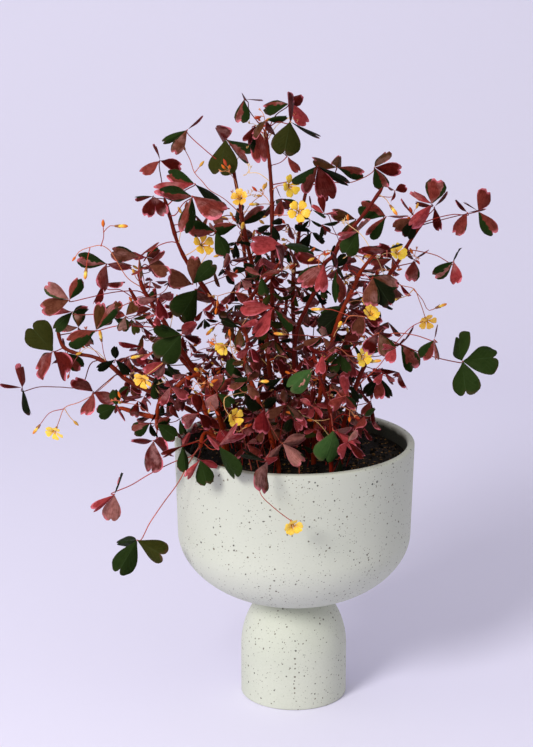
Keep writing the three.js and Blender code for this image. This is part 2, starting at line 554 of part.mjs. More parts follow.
// Turns neighbouring blades apart where they spring from almost the same side of their knob.
function spreadAround(blades) {
  for (let round = 0; round < SPREAD_ROUNDS; round++) {
    blades.forEach((blade, i) => {
      const wraps = i + 1 === blades.length;
      const next = blades[wraps ? 0 : i + 1];
      const lack = LEAST_BLADE_TURN - (next.angle + (wraps ? FULL_TURN : 0) - blade.angle);
      if (lack > 0) {
        blade.angle -= lack / 2;
        next.angle += lack / 2;
      }
    });
  }
}

// The faces of one blade's side: two fans, one from each of its root corners, that meet along its middle.
function bladeFaces(size) {
  const middle = Math.floor((size - 1) / 2);
  const faces = [[0, middle, size - 1]];
  for (let k = 1; k < middle; k++) faces.push([0, k, k + 1]);
  for (let k = middle; k < size - 2; k++) faces.push([size - 1, k, k + 1]);
  return faces;
}

// Blades that spread from a knob: each grows out of one side of the knob, and neighbours share its corners.
// outline has one blade's points, from its right side to its left, as [along, across, sag], in shares of its
// length, width and length. The knob's underside is left open, with its corners from index count on.
function bladesOnKnob(hub, axis, blades, outline, knob, thickness) {
  const east = blades[0].way.clone().addScaledVector(axis, -blades[0].way.dot(axis)).normalize();
  const north = axis.clone().cross(east);
  const ordered = blades
    .map((blade) => {
      const angle = Math.atan2(blade.way.dot(north), blade.way.dot(east));
      return { ...blade, angle: (angle + FULL_TURN) % FULL_TURN };
    })
    .sort((a, b) => a.angle - b.angle);
  spreadAround(ordered);
  const count = ordered.length;
  const upperCorners = [];
  const lowerCorners = [];
  ordered.forEach((blade, i) => {
    const next = ordered[(i + 1) % count].angle + (i + 1 === count ? FULL_TURN : 0);
    const turn = (blade.angle + next) / 2;
    const corner = hub.clone()
      .addScaledVector(east, knob.radius * Math.cos(turn))
      .addScaledVector(north, knob.radius * Math.sin(turn));
    upperCorners.push(corner.clone().addScaledVector(axis, knob.halfHeight));
    lowerCorners.push(corner.clone().addScaledVector(axis, -knob.halfHeight));
  });
  const points = [...upperCorners, ...lowerCorners];
  const faces = [];
  addTop(faces, 0, count);
  ordered.forEach((blade, i) => {
    const left = blade.normal.clone().cross(blade.way);
    const before = (i + count - 1) % count;
    const upper = [before];
    const lower = [before + count];
    for (const [along, across, sag] of outline) {
      const tilt = Math.sign(across) * blade.fold;
      const [level, steep] = [Math.cos(tilt), Math.sin(tilt)];
      const outward = left.clone().multiplyScalar(level).addScaledVector(blade.normal, -steep);
      const facing = blade.normal.clone().multiplyScalar(level).addScaledVector(left, steep);
      const middle = hub.clone()
        .addScaledVector(blade.way, along * blade.length)
        .addScaledVector(outward, across * blade.width)
        .addScaledVector(blade.normal, -sag * blade.length);
      upper.push(points.push(middle.clone().addScaledVector(facing, thickness / 2)) - 1);
      lower.push(points.push(middle.clone().addScaledVector(facing, -thickness / 2)) - 1);
    }
    upper.push(i);
    lower.push(i + count);
    for (const [a, b, c] of bladeFaces(upper.length)) {
      faces.push([upper[a], upper[b], upper[c]], [lower[a], lower[c], lower[b]]);
    }
    for (let k = 0; k + 1 < upper.length; k++) {
      faces.push([lower[k], lower[k + 1], upper[k + 1]], [lower[k], upper[k + 1], upper[k]]);
    }
  });
  return { points, faces, count };
}

// A leaf of three leaflets, with its stalk drawn out of the knob's underside and down to the stem.
function leafSolid({ hub, axis, leaflets, stalk }) {
  const outline = leaflets[0].length < LARGE_OUTLINE_FROM ? SMALL_LEAFLET_OUTLINE : LARGE_LEAFLET_OUTLINE;
  const { points, faces, count } = bladesOnKnob(hub, axis, leaflets, outline, LEAF_KNOB, LEAF_THICKNESS);
  const spokes = points.slice(count, 2 * count)
    .map((corner) => corner.clone().sub(hub).addScaledVector(axis, LEAF_KNOB.halfHeight).normalize());
  const route = [hub, ...stalk];
  let heading = axis.clone().negate();
  let above = count;
  for (let i = 1; i < route.length; i++) {
    const onward = route[Math.min(i + 1, route.length - 1)].clone().sub(route[i - 1]).normalize();
    const turn = new THREE.Quaternion().setFromUnitVectors(heading, onward);
    const below = points.length;
    for (const spoke of spokes) {
      spoke.applyQuaternion(turn);
      points.push(route[i].clone().addScaledVector(spoke, LEAF_STALK_RADIUS));
    }
    addBand(faces, below, above, count);
    heading = onward;
    above = below;
  }
  addUnderside(faces, above, count);
  return solidOf(points, faces);
}

// An open bloom: five petals round a throat, which narrows down its trumpet to the base.
function openBloom(base, facing) {
  const throat = base.clone().addScaledVector(facing, TRUMPET_LENGTH);
  const sideways = facing.clone().cross(UP).normalize();
  const upward = facing.clone().cross(sideways);
  const petals = [];
  for (let k = 0; k < PETAL_COUNT; k++) {
    const angle = (FULL_TURN * k) / PETAL_COUNT;
    const way = sideways.clone().multiplyScalar(Math.cos(angle)).addScaledVector(upward, Math.sin(angle))
      .addScaledVector(facing, PETAL_RISE).normalize();
    const normal = facing.clone().addScaledVector(way, -facing.dot(way)).normalize();
    petals.push({ way, normal, length: PETAL_LENGTH, width: PETAL_WIDTH, fold: 0 });
  }
  const star = bladesOnKnob(throat, facing, petals, PETAL_OUTLINE, THROAT_KNOB, PETAL_THICKNESS);
  const { points, faces, count } = star;
  const start = points.length;
  for (let i = 0; i < count; i++) {
    const spoke = points[count + i].clone().sub(throat).addScaledVector(facing, THROAT_KNOB.halfHeight);
    points.push(base.clone().addScaledVector(spoke, TRUMPET_TAPER));
  }
  addBand(faces, start, count, count);
  addUnderside(faces, start, count);
  return solidOf(points, faces);
}

function spindle(base, facing, { reach, radii, sides }) {
  return tube(reach.map((far) => base.clone().addScaledVector(facing, far)), radii, sides);
}

// What is already placed, as balls kept in cells, so that later leaves are set clear of it.
const placed = new Map();

function cellOf(point) {
  return point.toArray().map((value) => Math.floor(value / CELL));
}

function nearBalls(point) {
  const [i, j, k] = cellOf(point);
  const found = [];
  for (const a of [i - 1, i, i + 1]) {
    for (const b of [j - 1, j, j + 1]) {
      for (const c of [k - 1, k, k + 1]) found.push(...(placed.get([a, b, c].join()) || []));
    }
  }
  return found;
}

function keep(balls, owner) {
  for (const ball of balls) {
    const key = cellOf(ball.point).join();
    if (!placed.has(key)) placed.set(key, []);
    placed.get(key).push({ ...ball, owner });
  }
}

// How far a point is from the bowl's wall and the soil.
function planterRoom(point) {
  const out = Math.hypot(point.x, point.y);
  const aboveRim = point.z - RIM_HEIGHT;
  if (aboveRim > WIDE_ROOM) return WIDE_ROOM;
  if (out > RIM_RADIUS - WALL / 2) return Math.max(out - RIM_RADIUS, aboveRim);
  return Math.min(Math.max(SIDE_RADIUS - WALL - out, aboveRim), point.z - SOIL_HEIGHT - SOIL_RELIEF);
}

// The least room that the balls have, not counting what their own stem has placed if ownStem names it.
function roomOf(balls, ownStem) {
  let least = WIDE_ROOM;
  for (const { point, radius } of balls) {
    least = Math.min(least, planterRoom(point) - radius);
    for (const other of nearBalls(point)) {
      if (other.owner === ownStem) continue;
      least = Math.min(least, point.distanceTo(other.point) - radius - other.radius);
    }
  }
  return least;
}

function ballsAlong(points, radius) {
  const balls = [];
  for (let i = 0; i + 1 < points.length; i++) {
    const count = Math.max(1, Math.ceil(points[i].distanceTo(points[i + 1]) / BALL_SPACING));
    for (let k = 0; k < count; k++) {
      balls.push({ point: points[i].clone().lerp(points[i + 1], k / count), radius });
    }
  }
  balls.push({ point: points.at(-1), radius });
  return balls;
}

function leafletBalls({ hub, leaflets }) {
  return leaflets.flatMap(({ way, normal, length, width, fold }) => {
    const left = normal.clone().cross(way);
    return LEAFLET_BALLS.map(([along, across]) => ({
      radius: LEAFLET_BALL_RADIUS,
      point: hub.clone()
        .addScaledVector(way, along * length)
        .addScaledVector(left, across * width * Math.cos(fold))
        .addScaledVector(normal, -Math.abs(across) * width * Math.sin(fold) - LEAFLET_SAG * along * length),
    }));
  });
}

// Each leaflet is seen to reach its tip. What its length leaves over goes towards or away from the onlooker,
// whichever spreads the leaflets most. A leaflet with no tip given points away from the others.
function leafWays(hub, seenHub, length, facing, tips) {
  const sight = hub.clone().sub(EYE).normalize();
  const reach = [];
  for (let i = 0; i < tips.length; i += 2) {
    const flat = seen(tips[i], tips[i + 1], 0).sub(seenHub);
    flat.addScaledVector(sight, -flat.dot(sight));
    const far = Math.max(length, flat.length());
    reach.push({ flat, far, off: Math.sqrt(Math.max(0, far * far - flat.lengthSq())) });
  }
  let best = null;
  for (let choice = 0; choice < 2 ** reach.length; choice++) {
    const ways = reach.map(({ flat, off }, i) =>
      flat.clone().addScaledVector(sight, (choice >> i) & 1 ? off : -off).normalize());
    let spread = DROOP_FAVOUR * ways.reduce((sum, way) => sum + way.z * way.y, 0);
    for (let a = 0; a < ways.length; a++) {
      for (let b = 0; b < a; b++) spread -= Math.max(WIDE_ENOUGH, ways[a].dot(ways[b]));
    }
    if (!best || spread > best.spread + EVEN) best = { spread, ways };
  }
  const { ways } = best;
  const lengths = reach.map(({ far }) => far);
  const lookUp = UP.clone().multiplyScalar(1 - facing).addScaledVector(sight, -facing).normalize();
  while (ways.length < 3) {
    const away = ways.reduce((sum, way) => sum.sub(way), new THREE.Vector3());
    if (ways.length === 1) {
      away.multiplyScalar(LONE_TIP.back).addScaledVector(ways[0].clone().cross(lookUp), LONE_TIP.aside);
    }
    ways.push(away.addScaledVector(sight, HIDDEN_LEAFLET.back).normalize());
    lengths.push(length * HIDDEN_LEAFLET.size);
  }
  return { ways, lengths, lookUp };
}

// A leaflet's width as a share of its length: small ones are narrow and large ones round.
function slimness(length) {
  const share = (length - SMALL_LEAFLET.length) / (LARGE_LEAFLET.length - SMALL_LEAFLET.length);
  return THREE.MathUtils.lerp(SMALL_LEAFLET.width, LARGE_LEAFLET.width, THREE.MathUtils.clamp(share, 0, 1));
}

// The leaf's axis and each leaflet's upper side and width, from the ways that the leaflets point.
function spreadLeaf(hub, { ways, lengths, lookUp }, facing) {
  const axis = new THREE.Vector3();
  ways.forEach((way, i) => {
    const turn = way.clone().cross(ways[(i + 1) % ways.length]);
    axis.addScaledVector(turn, Math.sign(turn.dot(lookUp)) || 1);
  });
  axis.normalize().addScaledVector(lookUp, AXIS_LOOKS_UP).normalize();
  const leaflets = ways.map((way, i) => {
    const normal = axis.clone().addScaledVector(way, -axis.dot(way)).normalize();
    const crowding = Math.min(...ways.filter((other) => other !== way).map((other) => way.angleTo(other)));
    const squeeze = THREE.MathUtils.clamp(crowding / FREE_TURN, LEAST_SQUEEZE, 1);
    const fold = THREE.MathUtils.lerp(STEEP_FOLD, FLAT_FOLD, facing);
    return { way, normal, length: lengths[i], width: lengths[i] * slimness(lengths[i]) * squeeze, fold };
  });
  return { hub, axis, leaflets };
}

// The way of a leaf's stalk: from under the leaf's knob, past the points where it is seen, to its stem.
function leafStalk(from, via, { hub, axis }) {
  const far = from.distanceTo(hub);
  const under = hub.clone().addScaledVector(axis, -Math.min(NECK.length, NECK.share * far));
  if (via.length) return [under, ...via.toReversed(), from];
  if (far < SHORT_LEAF_STALK) return [under, from];
  return [under, from.clone().lerp(under, ARCH.at).addScaledVector(UP, ARCH.rise * far), from];
}

// The point of a stem from which a leaf's stalk springs: near the leaf, and lower than it.
function springPoint(wood, target) {
  let best = null;
  for (const { point } of wood) {
    const distance = point.distanceTo(target);
    const cost = distance + SPRING.above * Math.max(0, point.z - target.z + SPRING.drop)
      + SPRING.near * Math.max(0, SPRING.least - distance);
    if (point.z > SOIL_HEIGHT + SPRING.clear && (!best || cost < best.cost)) best = { cost, point };
  }
  return best.point;
}

// A leaf with its stalk, and the room that both have.
function measured(leaf, stalk, name) {
  const balls = leafletBalls(leaf);
  const stalkBalls = ballsAlong(stalk, STALK_BALL_RADIUS);
  const besideStem = stalkBalls.slice(0, -BALLS_AT_SPRING);
  const room = Math.min(roomOf(balls, null), roomOf(besideStem, name));
  return { ...leaf, stalk, room, balls: [...balls, ...stalkBalls] };
}

// A leaf at its seen place, moved in depth until it is clear.
function handLeaf(row, { stem, name, wood }) {
  const [x, height, depth, length, facing, tips, way = [], wayDepths = []] = row;
  const first = way.length ? onStem(stem, way[0], way[1], wayDepths[0] ?? depth) : null;
  let best = null;
  for (const offset of DEPTH_TRIES) {
    const hub = onStem(stem, x, height, depth + offset);
    const leaf = spreadLeaf(hub, leafWays(hub, seen(x, height, 0), length, facing, tips), facing);
    const from = springPoint(wood, first || hub);
    const via = [];
    for (let i = 0; 2 * i < way.length; i++) {
      const share = (i + 1) / (way.length / 2 + 1);
      const [wayX, wayHeight] = way.slice(2 * i, 2 * i + 2);
      via.push(wayDepths.length
        ? onStem(stem, wayX, wayHeight, wayDepths[i])
        : seen(wayX, wayHeight, THREE.MathUtils.lerp(from.y, hub.y, share)));
    }
    const made = measured(leaf, leafStalk(from, via, leaf), name);
    if (!best || made.room > best.room) best = made;
    if (best.room > 0) break;
  }
  return best;
}

// Draws that come out the same every time.
let drawState = FIRST_DRAW;
function draw(low, high) {
  drawState = (Math.imul(drawState, DRAW_FACTOR) + DRAW_STEP) >>> 0;
  return low + (high - low) * (drawState / 2 ** 32);
}

// A small leaf that grows by rule: it leaves the stem at a golden turn from the last one.
function ruleLeaf(number, { stem, name, wood }) {
  const share = THREE.MathUtils.lerp(CROWD.low, CROWD.high, (number + 0.5) / stem.crowd);
  const from = wood[Math.floor(wood.length * share)].point;
  const reach = draw(CROWD.leastReach, CROWD.mostReach);
  const lift = draw(CROWD.leastLift, CROWD.mostLift);
  const length = draw(CROWD.leastLength, CROWD.mostLength);
  const spin = draw(0, FULL_TURN);
  let best = null;
  for (let attempt = 0; attempt < CROWD.tries; attempt++) {
    const turn = GOLDEN_TURN * number + CROWD.retryTurn * attempt;
    const outward = new THREE.Vector3(CROWD.sideways * Math.cos(turn), Math.sin(turn), 0).normalize();
    const hub = from.clone()
      .addScaledVector(outward, reach * Math.cos(lift))
      .addScaledVector(UP, reach * Math.sin(lift));
    const lookUp = UP.clone().addScaledVector(outward, CROWD.lookOut).normalize();
    const east = outward.clone().cross(lookUp).normalize();
    const north = lookUp.clone().cross(east);
    const ways = [0, 1, 2].map((k) => {
      const angle = spin + (FULL_TURN * k) / 3;
      return east.clone().multiplyScalar(Math.cos(angle)).addScaledVector(north, Math.sin(angle))
        .addScaledVector(lookUp, -CROWD.droop).normalize();
    });
    const leaf = spreadLeaf(hub, { ways, lengths: [length, length, length], lookUp }, CROWD.facing);
    const made = measured(leaf, leafStalk(from, [], leaf), name);
    if (!best || made.room > best.room) best = made;
    if (best.room > 0) break;
  }
  return best;
}

// A stem's wood: the part that stands in the soil, the stem itself and its side branches.
function woodOf([key, stem]) {
  const [rootX, rootY] = stem.root;
  const foot = [SOIL_HEIGHT - HOLE_DEPTH + SEAT_GAP, SOIL_HEIGHT + SOIL_RELIEF + stem.radius]
    .map((height) => new THREE.Vector3(rootX, rootY, height));
  const [trunk, ...branches] = [stem.path, ...(stem.side || [])]
    .map((path) => path.map((row) => onStem(stem, ...row)));
  const runs = [[...foot, ...trunk], ...branches];
  const wood = [[foot[1], ...trunk], ...branches]
    .flatMap((run) => ballsAlong(run, stem.radius + STEM_BALL_MARGIN));
  const pieces = runs.map((run, i) =>
    tube(run, tapered(run, i ? stem.radius * BRANCH_START : stem.radius, STEM_TIP_RADIUS), STEM_SIDES));
  const item = { name: "stem_" + key, stem, wood, pieces, sprays: [] };
  keep(wood, item.name);
  return item;
}

// A flower stalk, with the bloom or the small bud that it ends in.
function addStalk(item, { path, bloom, face }, blooms) {
  const route = path.map((row) => onStem(item.stem, ...row));
  const away = ({ point }) => point.distanceTo(route[0]);
  const nearest = [...item.wood, ...item.sprays].reduce((best, one) => (away(one) < away(best) ? one : best));
  route[0] = nearest.point;
  const end = route.at(-1);
  const heading = end.clone().sub(route.at(-2)).normalize();
  const radii = route.map(() => FLOWER_STALK_RADIUS);
  if (bloom !== "bud") radii[radii.length - 1] = CUP_RADIUS;
  item.pieces.push(tube(route, radii, STALK_SIDES));
  const balls = ballsAlong(route, FLOWER_STALK_BALL_RADIUS);
  item.sprays.push(...balls);
  keep(balls, item.name);
  if (bloom === "bud") {
    item.pieces.push(spindle(end, heading, BUD));
    return;
  }
  const facing = face ? new THREE.Vector3(...face).normalize() : heading.clone();
  facing.addScaledVector(heading, Math.max(0, LEAST_FORWARD - facing.dot(heading))).normalize();
  const clear = SEAT_GAP + CUP_CLEARANCE * Math.sin(facing.angleTo(heading));
  const base = end.clone().addScaledVector(heading, clear);
  const open = bloom === "open";
  const tip = base.clone().addScaledVector(facing, open ? TRUMPET_LENGTH : SHUT_BLOOM.reach.at(-1));
  keep(ballsAlong([base, tip], BLOOM_BALL_RADIUS), "bloom");
  if (open) keep([{ point: tip, radius: PETAL_LENGTH }], "bloom");
  blooms.push({
    name: "bloom_" + String(blooms.length + 1).padStart(2, "0"),
    solid: open ? openBloom(base, facing) : spindle(base, facing, SHUT_BLOOM),
  });
}

function addLeaf(item, leaf) {
  keep(leaf.balls, item.name);
  item.pieces.push(leafSolid(leaf));
}

// The plant: wood first, then flower stalks and blooms, and then the leaves, which keep clear of all of it.
function growPlant() {
  const items = Object.entries(STEMS).map(woodOf);
  const blooms = [];
  for (const item of items) {
    for (const stalk of item.stem.stalks || []) addStalk(item, stalk, blooms);
  }
  for (const item of items) {
    for (const row of item.stem.leaves) addLeaf(item, handLeaf(row, item));
  }
  for (const item of items) {
    for (let number = 0; number < item.stem.crowd; number++) {
      const leaf = ruleLeaf(number, item);
      if (leaf.room > 0) addLeaf(item, leaf);
    }
  }
  const stems = items.map(({ name, stem, pieces }) =>
    meshOf(name, wasm.Manifold.union(pieces).asOriginal().simplify(SLIVER), stem.colour, LEAF_ROUGHNESS));
  return [...stems, ...blooms.map(({ name, solid }) => meshOf(name, solid, BLOOM_COLOUR, PETAL_ROUGHNESS))];
}

// A bowl's curve from its bottom to the turn of its side, as a quarter of a squared ellipse.
function bowlCurve(radius, bottom, inner, steps) {
  const points = [];
  for (let i = 0; i <= steps; i++) {
    const turn = ((i / steps) * Math.PI) / 2;
    points.push(new THREE.Vector2(
      inner + (radius - inner) * Math.sin(turn) ** (2 / BOWL_ROUNDNESS),
      SIDE_TURN_HEIGHT - (SIDE_TURN_HEIGHT - bottom) * Math.cos(turn) ** (2 / BOWL_ROUNDNESS),
    ));
  }
  return points;
}

function turned(profile) {
  return new THREE.LatheGeometry(profile, PLANTER_SIDES).rotateX(Math.PI / 2);
}

// The planter: a footed bowl in one casting.
function planterSolid() {
  const at = (radius, height) => new THREE.Vector2(radius, height);
  const profile = [at(0, 0), at(FOOT_RADIUS - FOOT_EDGE, 0), at(FOOT_RADIUS, FOOT_EDGE)];
  for (const rise of FOOT_DOME_STEPS) {
    profile.push(at(FOOT_RADIUS * Math.sqrt(1 - rise * rise), FOOT_SHOULDER_HEIGHT + rise * FOOT_DOME_RISE));
  }
  profile.push(at(NECK_RADIUS, BOWL_BOTTOM_HEIGHT));
  profile.push(...bowlCurve(SIDE_RADIUS, BOWL_BOTTOM_HEIGHT, BOWL_FLAT_RADIUS, BOWL_STEPS)
    .filter((point) => point.x > NECK_RADIUS + RIM_EDGE));
  profile.push(at(RIM_RADIUS, RIM_HEIGHT - RIM_EDGE));
  profile.push(at(RIM_RADIUS - RIM_EDGE, RIM_HEIGHT));
  profile.push(at(RIM_RADIUS - WALL + RIM_EDGE, RIM_HEIGHT));
  profile.push(at(RIM_RADIUS - WALL, RIM_HEIGHT - RIM_EDGE));
  profile.push(...bowlCurve(SIDE_RADIUS - WALL, FLOOR_HEIGHT, 0, HOLLOW_STEPS).reverse());
  return solidOfGeometry(turned(profile));
}

// The soil fills the bowl's hollow, and has a plain hole for each stem.
function soilSolid() {
  const sideRadius = SIDE_RADIUS - WALL - SEAT_GAP;
  const splay = (RIM_RADIUS - SIDE_RADIUS) / (RIM_HEIGHT - RIM_EDGE - SIDE_TURN_HEIGHT);
  const edge = sideRadius + splay * (SOIL_HEIGHT - SIDE_TURN_HEIGHT);
  const profile = bowlCurve(sideRadius, FLOOR_HEIGHT + SEAT_GAP, 0, HOLLOW_STEPS);
  for (const share of SOIL_RINGS) profile.push(new THREE.Vector2(edge * share, SOIL_HEIGHT));
  const geometry = turned(profile);
  const spots = geometry.attributes.position;
  for (let i = 0; i < spots.count; i++) {
    const [x, y, z] = [spots.getX(i), spots.getY(i), spots.getZ(i)];
    const onTop = z > SOIL_HEIGHT - SOIL_RELIEF && Math.hypot(x, y) < edge - SOIL_RELIEF;
    if (onTop) spots.setZ(i, z + SOIL_RELIEF * Math.sin(x / SOIL_SWELL) * Math.cos(y / SOIL_SWELL));
  }
  let soil = solidOfGeometry(geometry);
  for (const { root: [x, y], radius } of Object.values(STEMS)) {
    const bore = (radius + SEAT_GAP) / Math.cos(Math.PI / STEM_SIDES);
    const ends = [SOIL_HEIGHT - HOLE_DEPTH, RIM_HEIGHT].map((height) => new THREE.Vector3(x, y, height));
    soil = soil.subtract(tube(ends, [bore, bore], STEM_SIDES));
  }
  return soil;
}

const object = new THREE.Group();
object.add(meshOf("planter", planterSolid(), PLANTER_COLOUR, PLANTER_ROUGHNESS));
object.add(meshOf("soil", soilSolid(), SOIL_COLOUR, SOIL_ROUGHNESS));
const plant = new THREE.Group();
plant.add(...growPlant());
object.add(plant);

export default object;
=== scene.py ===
"""A potted plum crazy oxalis: its footed bowl, soil, leafy stems, leaves and blooms, dressed for looks."""
import math
import random
from functools import lru_cache

import bpy
import numpy as np
from bpy.props import FloatProperty, FloatVectorProperty, IntProperty, PointerProperty
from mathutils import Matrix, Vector, noise


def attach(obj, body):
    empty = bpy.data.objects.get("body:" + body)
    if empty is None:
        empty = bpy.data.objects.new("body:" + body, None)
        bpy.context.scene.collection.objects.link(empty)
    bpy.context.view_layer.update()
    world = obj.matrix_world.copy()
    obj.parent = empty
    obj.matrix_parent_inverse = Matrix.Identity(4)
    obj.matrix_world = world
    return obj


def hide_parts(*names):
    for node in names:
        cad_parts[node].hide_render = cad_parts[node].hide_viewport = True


bl_info = {
    "name": "Potted Oxalis",
    "version": (1, 0, 0),
    "blender": (4, 5, 0),
    "location": "View3D > Sidebar > Oxalis",
    "description": "Models and finishes a potted plum crazy oxalis around its solids",
    "category": "Object",
}

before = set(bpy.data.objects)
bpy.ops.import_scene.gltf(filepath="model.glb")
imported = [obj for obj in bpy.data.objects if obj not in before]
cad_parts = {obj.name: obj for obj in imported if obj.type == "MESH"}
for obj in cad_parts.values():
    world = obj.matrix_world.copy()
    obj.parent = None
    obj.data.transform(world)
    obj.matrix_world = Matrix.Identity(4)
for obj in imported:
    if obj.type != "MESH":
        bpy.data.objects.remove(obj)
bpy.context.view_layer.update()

# Lengths of the plant and its planter are in millimetres, as on the solids; MM brings them to the scene.
MM = 0.001

# The planter and its soil.
RIM_HEIGHT = 202.0
RIM_RADIUS = 90.0
RIM_EDGE = 1.6
WALL = 5.4
SIDE_RADIUS = 88.2
SIDE_TURN_HEIGHT = 131.0
BOWL_BOTTOM_HEIGHT = 79.0
BOWL_FLAT_RADIUS = 14.0
BOWL_ROUNDNESS = 1.9
FLOOR_HEIGHT = BOWL_BOTTOM_HEIGHT + 7.4
NECK_RADIUS = 25.0
FOOT_RADIUS = 40.5
FOOT_EDGE = 1.4
FOOT_SHOULDER_HEIGHT = 38.0
FOOT_DOME_RISE = 51.0
SOIL_HEIGHT = 190.0
SOIL_RELIEF = 1.6
SOIL_SWELL = 8.5
SEAT_GAP = 0.3
HOLE_DEPTH = 14.0

# How the leaves of the solids are set, which these leaves repeat.
SMALL_LEAFLET = (16.0, 0.72)
LARGE_LEAFLET = (24.0, 0.96)
FLAT_FOLD = 0.28
STEEP_FOLD = 1.1
SHORT_LEAF_STALK = 20.0
NECK_LENGTH = 5.0
NECK_SHARE = 0.3
ARCH_AT = 0.55
ARCH_RISE = 0.1
FREE_TURN = 1.15
LEAST_SQUEEZE = 0.45
AXIS_LOOKS_UP = 0.6
WIDE_ENOUGH = -0.6
DROOP_FAVOUR = 0.02
EVEN = 1e-9
HIDDEN_LEAFLET_BACK = 0.5
HIDDEN_LEAFLET_SIZE = 0.85
LONE_TIP_BACK = 0.5
LONE_TIP_ASIDE = 0.85
SPRING_ABOVE = 1.2
SPRING_DROP = 4.0
SPRING_NEAR = 3.0
SPRING_LEAST = 9.0
SPRING_CLEAR = 6.0
CUP_CLEARANCE = 0.8
LEAST_FORWARD = 0.3
PETAL_LENGTH = 7.0
TRUMPET_LENGTH = 5.0
SHUT_LENGTH = 9.0

# How leaves are kept clear of what is placed before them.
CELL = 5.0
WIDE_ROOM = 12.0
BALL_SPACING = 2.0
STEM_BALL_MARGIN = 0.3
STALK_BALL_RADIUS = 1.1
FLOWER_STALK_BALL_RADIUS = 0.9
BLOOM_BALL_RADIUS = 3.0
BALLS_AT_SPRING = 3
LEAFLET_BALL_RADIUS = 2.1
LEAFLET_SAG = 0.05
LEAFLET_BALLS = (
    (0.22, 0), (0.42, -0.14), (0.42, 0.14), (0.6, -0.38), (0.6, 0), (0.6, 0.38),
    (0.78, -0.2), (0.78, 0.2), (0.84, -0.46), (0.84, 0.46), (0.98, -0.25), (0.98, 0.25),
)
DEPTH_TRIES = (0, -5, 5, -10, 10, -15, 15, -20, 20, -26, 26, -32, 32, -40, 40)

# The small leaves that grow by rule on the solids.
FIRST_DRAW = 20240
DRAW_FACTOR = 1664525
DRAW_STEP = 1013904223
DRAW_RANGE = 2 ** 32
GOLDEN_TURN = 2.399963
FULL_TURN = 2 * math.pi
CROWD_LOW = 0.32
CROWD_HIGH = 0.98
CROWD_REACH = (20, 34)
CROWD_LIFT = (0.1, 0.7)
CROWD_LENGTH = (14, 19)
CROWD_TRIES = 10
CROWD_RETRY_TURN = 0.63
CROWD_SIDEWAYS = 0.75
CROWD_LOOK_OUT = 0.7
CROWD_DROOP = 0.3
CROWD_FACING = 0.8

# The plant's places are given as an onlooker sees them: x and height on the upright plane through the
# planter's axis, then the depth behind that plane, reached along the onlooker's line of sight.
EYE = np.array((-21.0, -1325.0, 595.0))
UP = np.array((0.0, 0.0, 1.0))
LEAN_SPAN = 200.0

STEMS = {}


def add_stem(name, **stem):
    """One of the leafy stems, which stands at root in the soil and follows path, rows of (x, height, depth).

    side: branches, whose first point lies on the stem.
    stalks: flower stalks, as (what it ends in, way that an open bloom faces or None, path).
    leaves: rows of (looks, x, height, depth, length, facing, leaflet tips, leaf stalk's way, its depths).
    looks has a letter for each leaflet's tones and a digit for its width as seen, in tenths of its length
    as seen. facing is 1 for a leaf turned to the onlooker and 0 for one that faces the sky. Tips and way
    are pairs as seen.
    crowd: how many more small leaves grow by rule along the stem.
    """
    STEMS[name] = stem


add_stem(
    "tall", root=(-2, -4), lean=-5, radius=2.2, colour=0x6e2a20, crowd=1,
    path=((-3, 215, -4), (-6, 240, -7), (-9, 262, -9), (-13, 277, -11), (-16, 292, -12), (-17, 313, -11),
        (-16, 335, -8), (-17, 357, -4), (-17, 380, 0), (-18, 400, 2), (-20, 420, 4), (-22, 433, 4)),
    stalks=(
        ("open", (1, -0.5, -0.1), ((-18, 389, 0), (-12, 394, -6), (-7, 394, -10))),
        ("open", (0.2, -1, 0.3), ((-13, 372, 0), (-4, 372, -8), (1, 374, -14))),
        ("shut", None, ((-17, 380, 0), (-23, 380, -8), (-27, 380, -12))),
    ),
    leaves=(
        ("h7m4m2", -37, 456, 6, 17, 0.8, (-40, 440, -39, 461, -27, 456), (-28, 441, -34, 450)),
        ("h6m7r5", -5, 453, 0, 18, 0.9, (-23, 451, 5, 459, 9, 440), (-20, 430, -14, 444)),
        ("o4g3m4", -21, 441, -8, 17, 0.7, (-32, 431, -6, 444, -15, 431)),
        ("y9d2m4", -4, 440, -16, 23, 1, (-8, 417, 15, 430, -1, 456)),
        ("m6d4p5", -29, 437, 12, 18, 0.7, (-34, 427, -29, 418, -24, 411)),
        ("p4m1m0", -6, 415, 14, 14, 0.7, (3, 405, -12, 420)),
        ("k8m6d2", 16, 408, -6, 24, 0.8, (4, 395, 25, 384, 38, 395), (-4, 398, 6, 404)),
        ("h4p5m0", -10, 384, 12, 13, 0.6, (2, 380, -14, 372)),
    ),
)
add_stem(
    "left_of_tall", root=(-14, 10), lean=32, radius=2, colour=0x7a2f22, crowd=1,
    path=((-16, 225, 12), (-19, 258, 10), (-22, 290, 6), (-25, 310, 4), (-30, 330, 2), (-35, 350, 0),
        (-40, 378, -2), (-44, 400, -2), (-47, 415, 0)),
    stalks=(
        ("open", (-0.3, -1, 0.5), ((-38, 372, -2), (-39, 379, -8), (-39, 383, -12))),
        ("shut", None, ((-36, 350, 0), (-40, 356, -8), (-39, 361, -13))),
        ("shut", None, ((-33, 341, 2), (-28, 347, -4), (-27, 344, -7))),
        ("shut", None, ((-39, 372, -2), (-52, 384, 2), (-63, 391, 3), (-67, 396, 3), (-73, 403, 3),
            (-76, 412, 3), (-80, 420, 3))),
        ("bud", None, ((-73, 403, 3), (-69, 408, 3))),
    ),
    leaves=(
        ("y8h8m7", -50, 427, -5, 26, 1, (-56, 402, -36, 416, -60, 438)),
        ("g3b6p0", -78, 434, 2, 19, 0.6, (-96, 425, -88, 417), (-52, 409, -63, 418)),
        ("h5d5k4", -42, 365, -10, 18, 0.7, (-60, 362, -43, 379, -22, 377)),
        ("o5m3m0", -38, 362, 6, 14, 0.8, (-40, 351, -28, 356)),
    ),
)
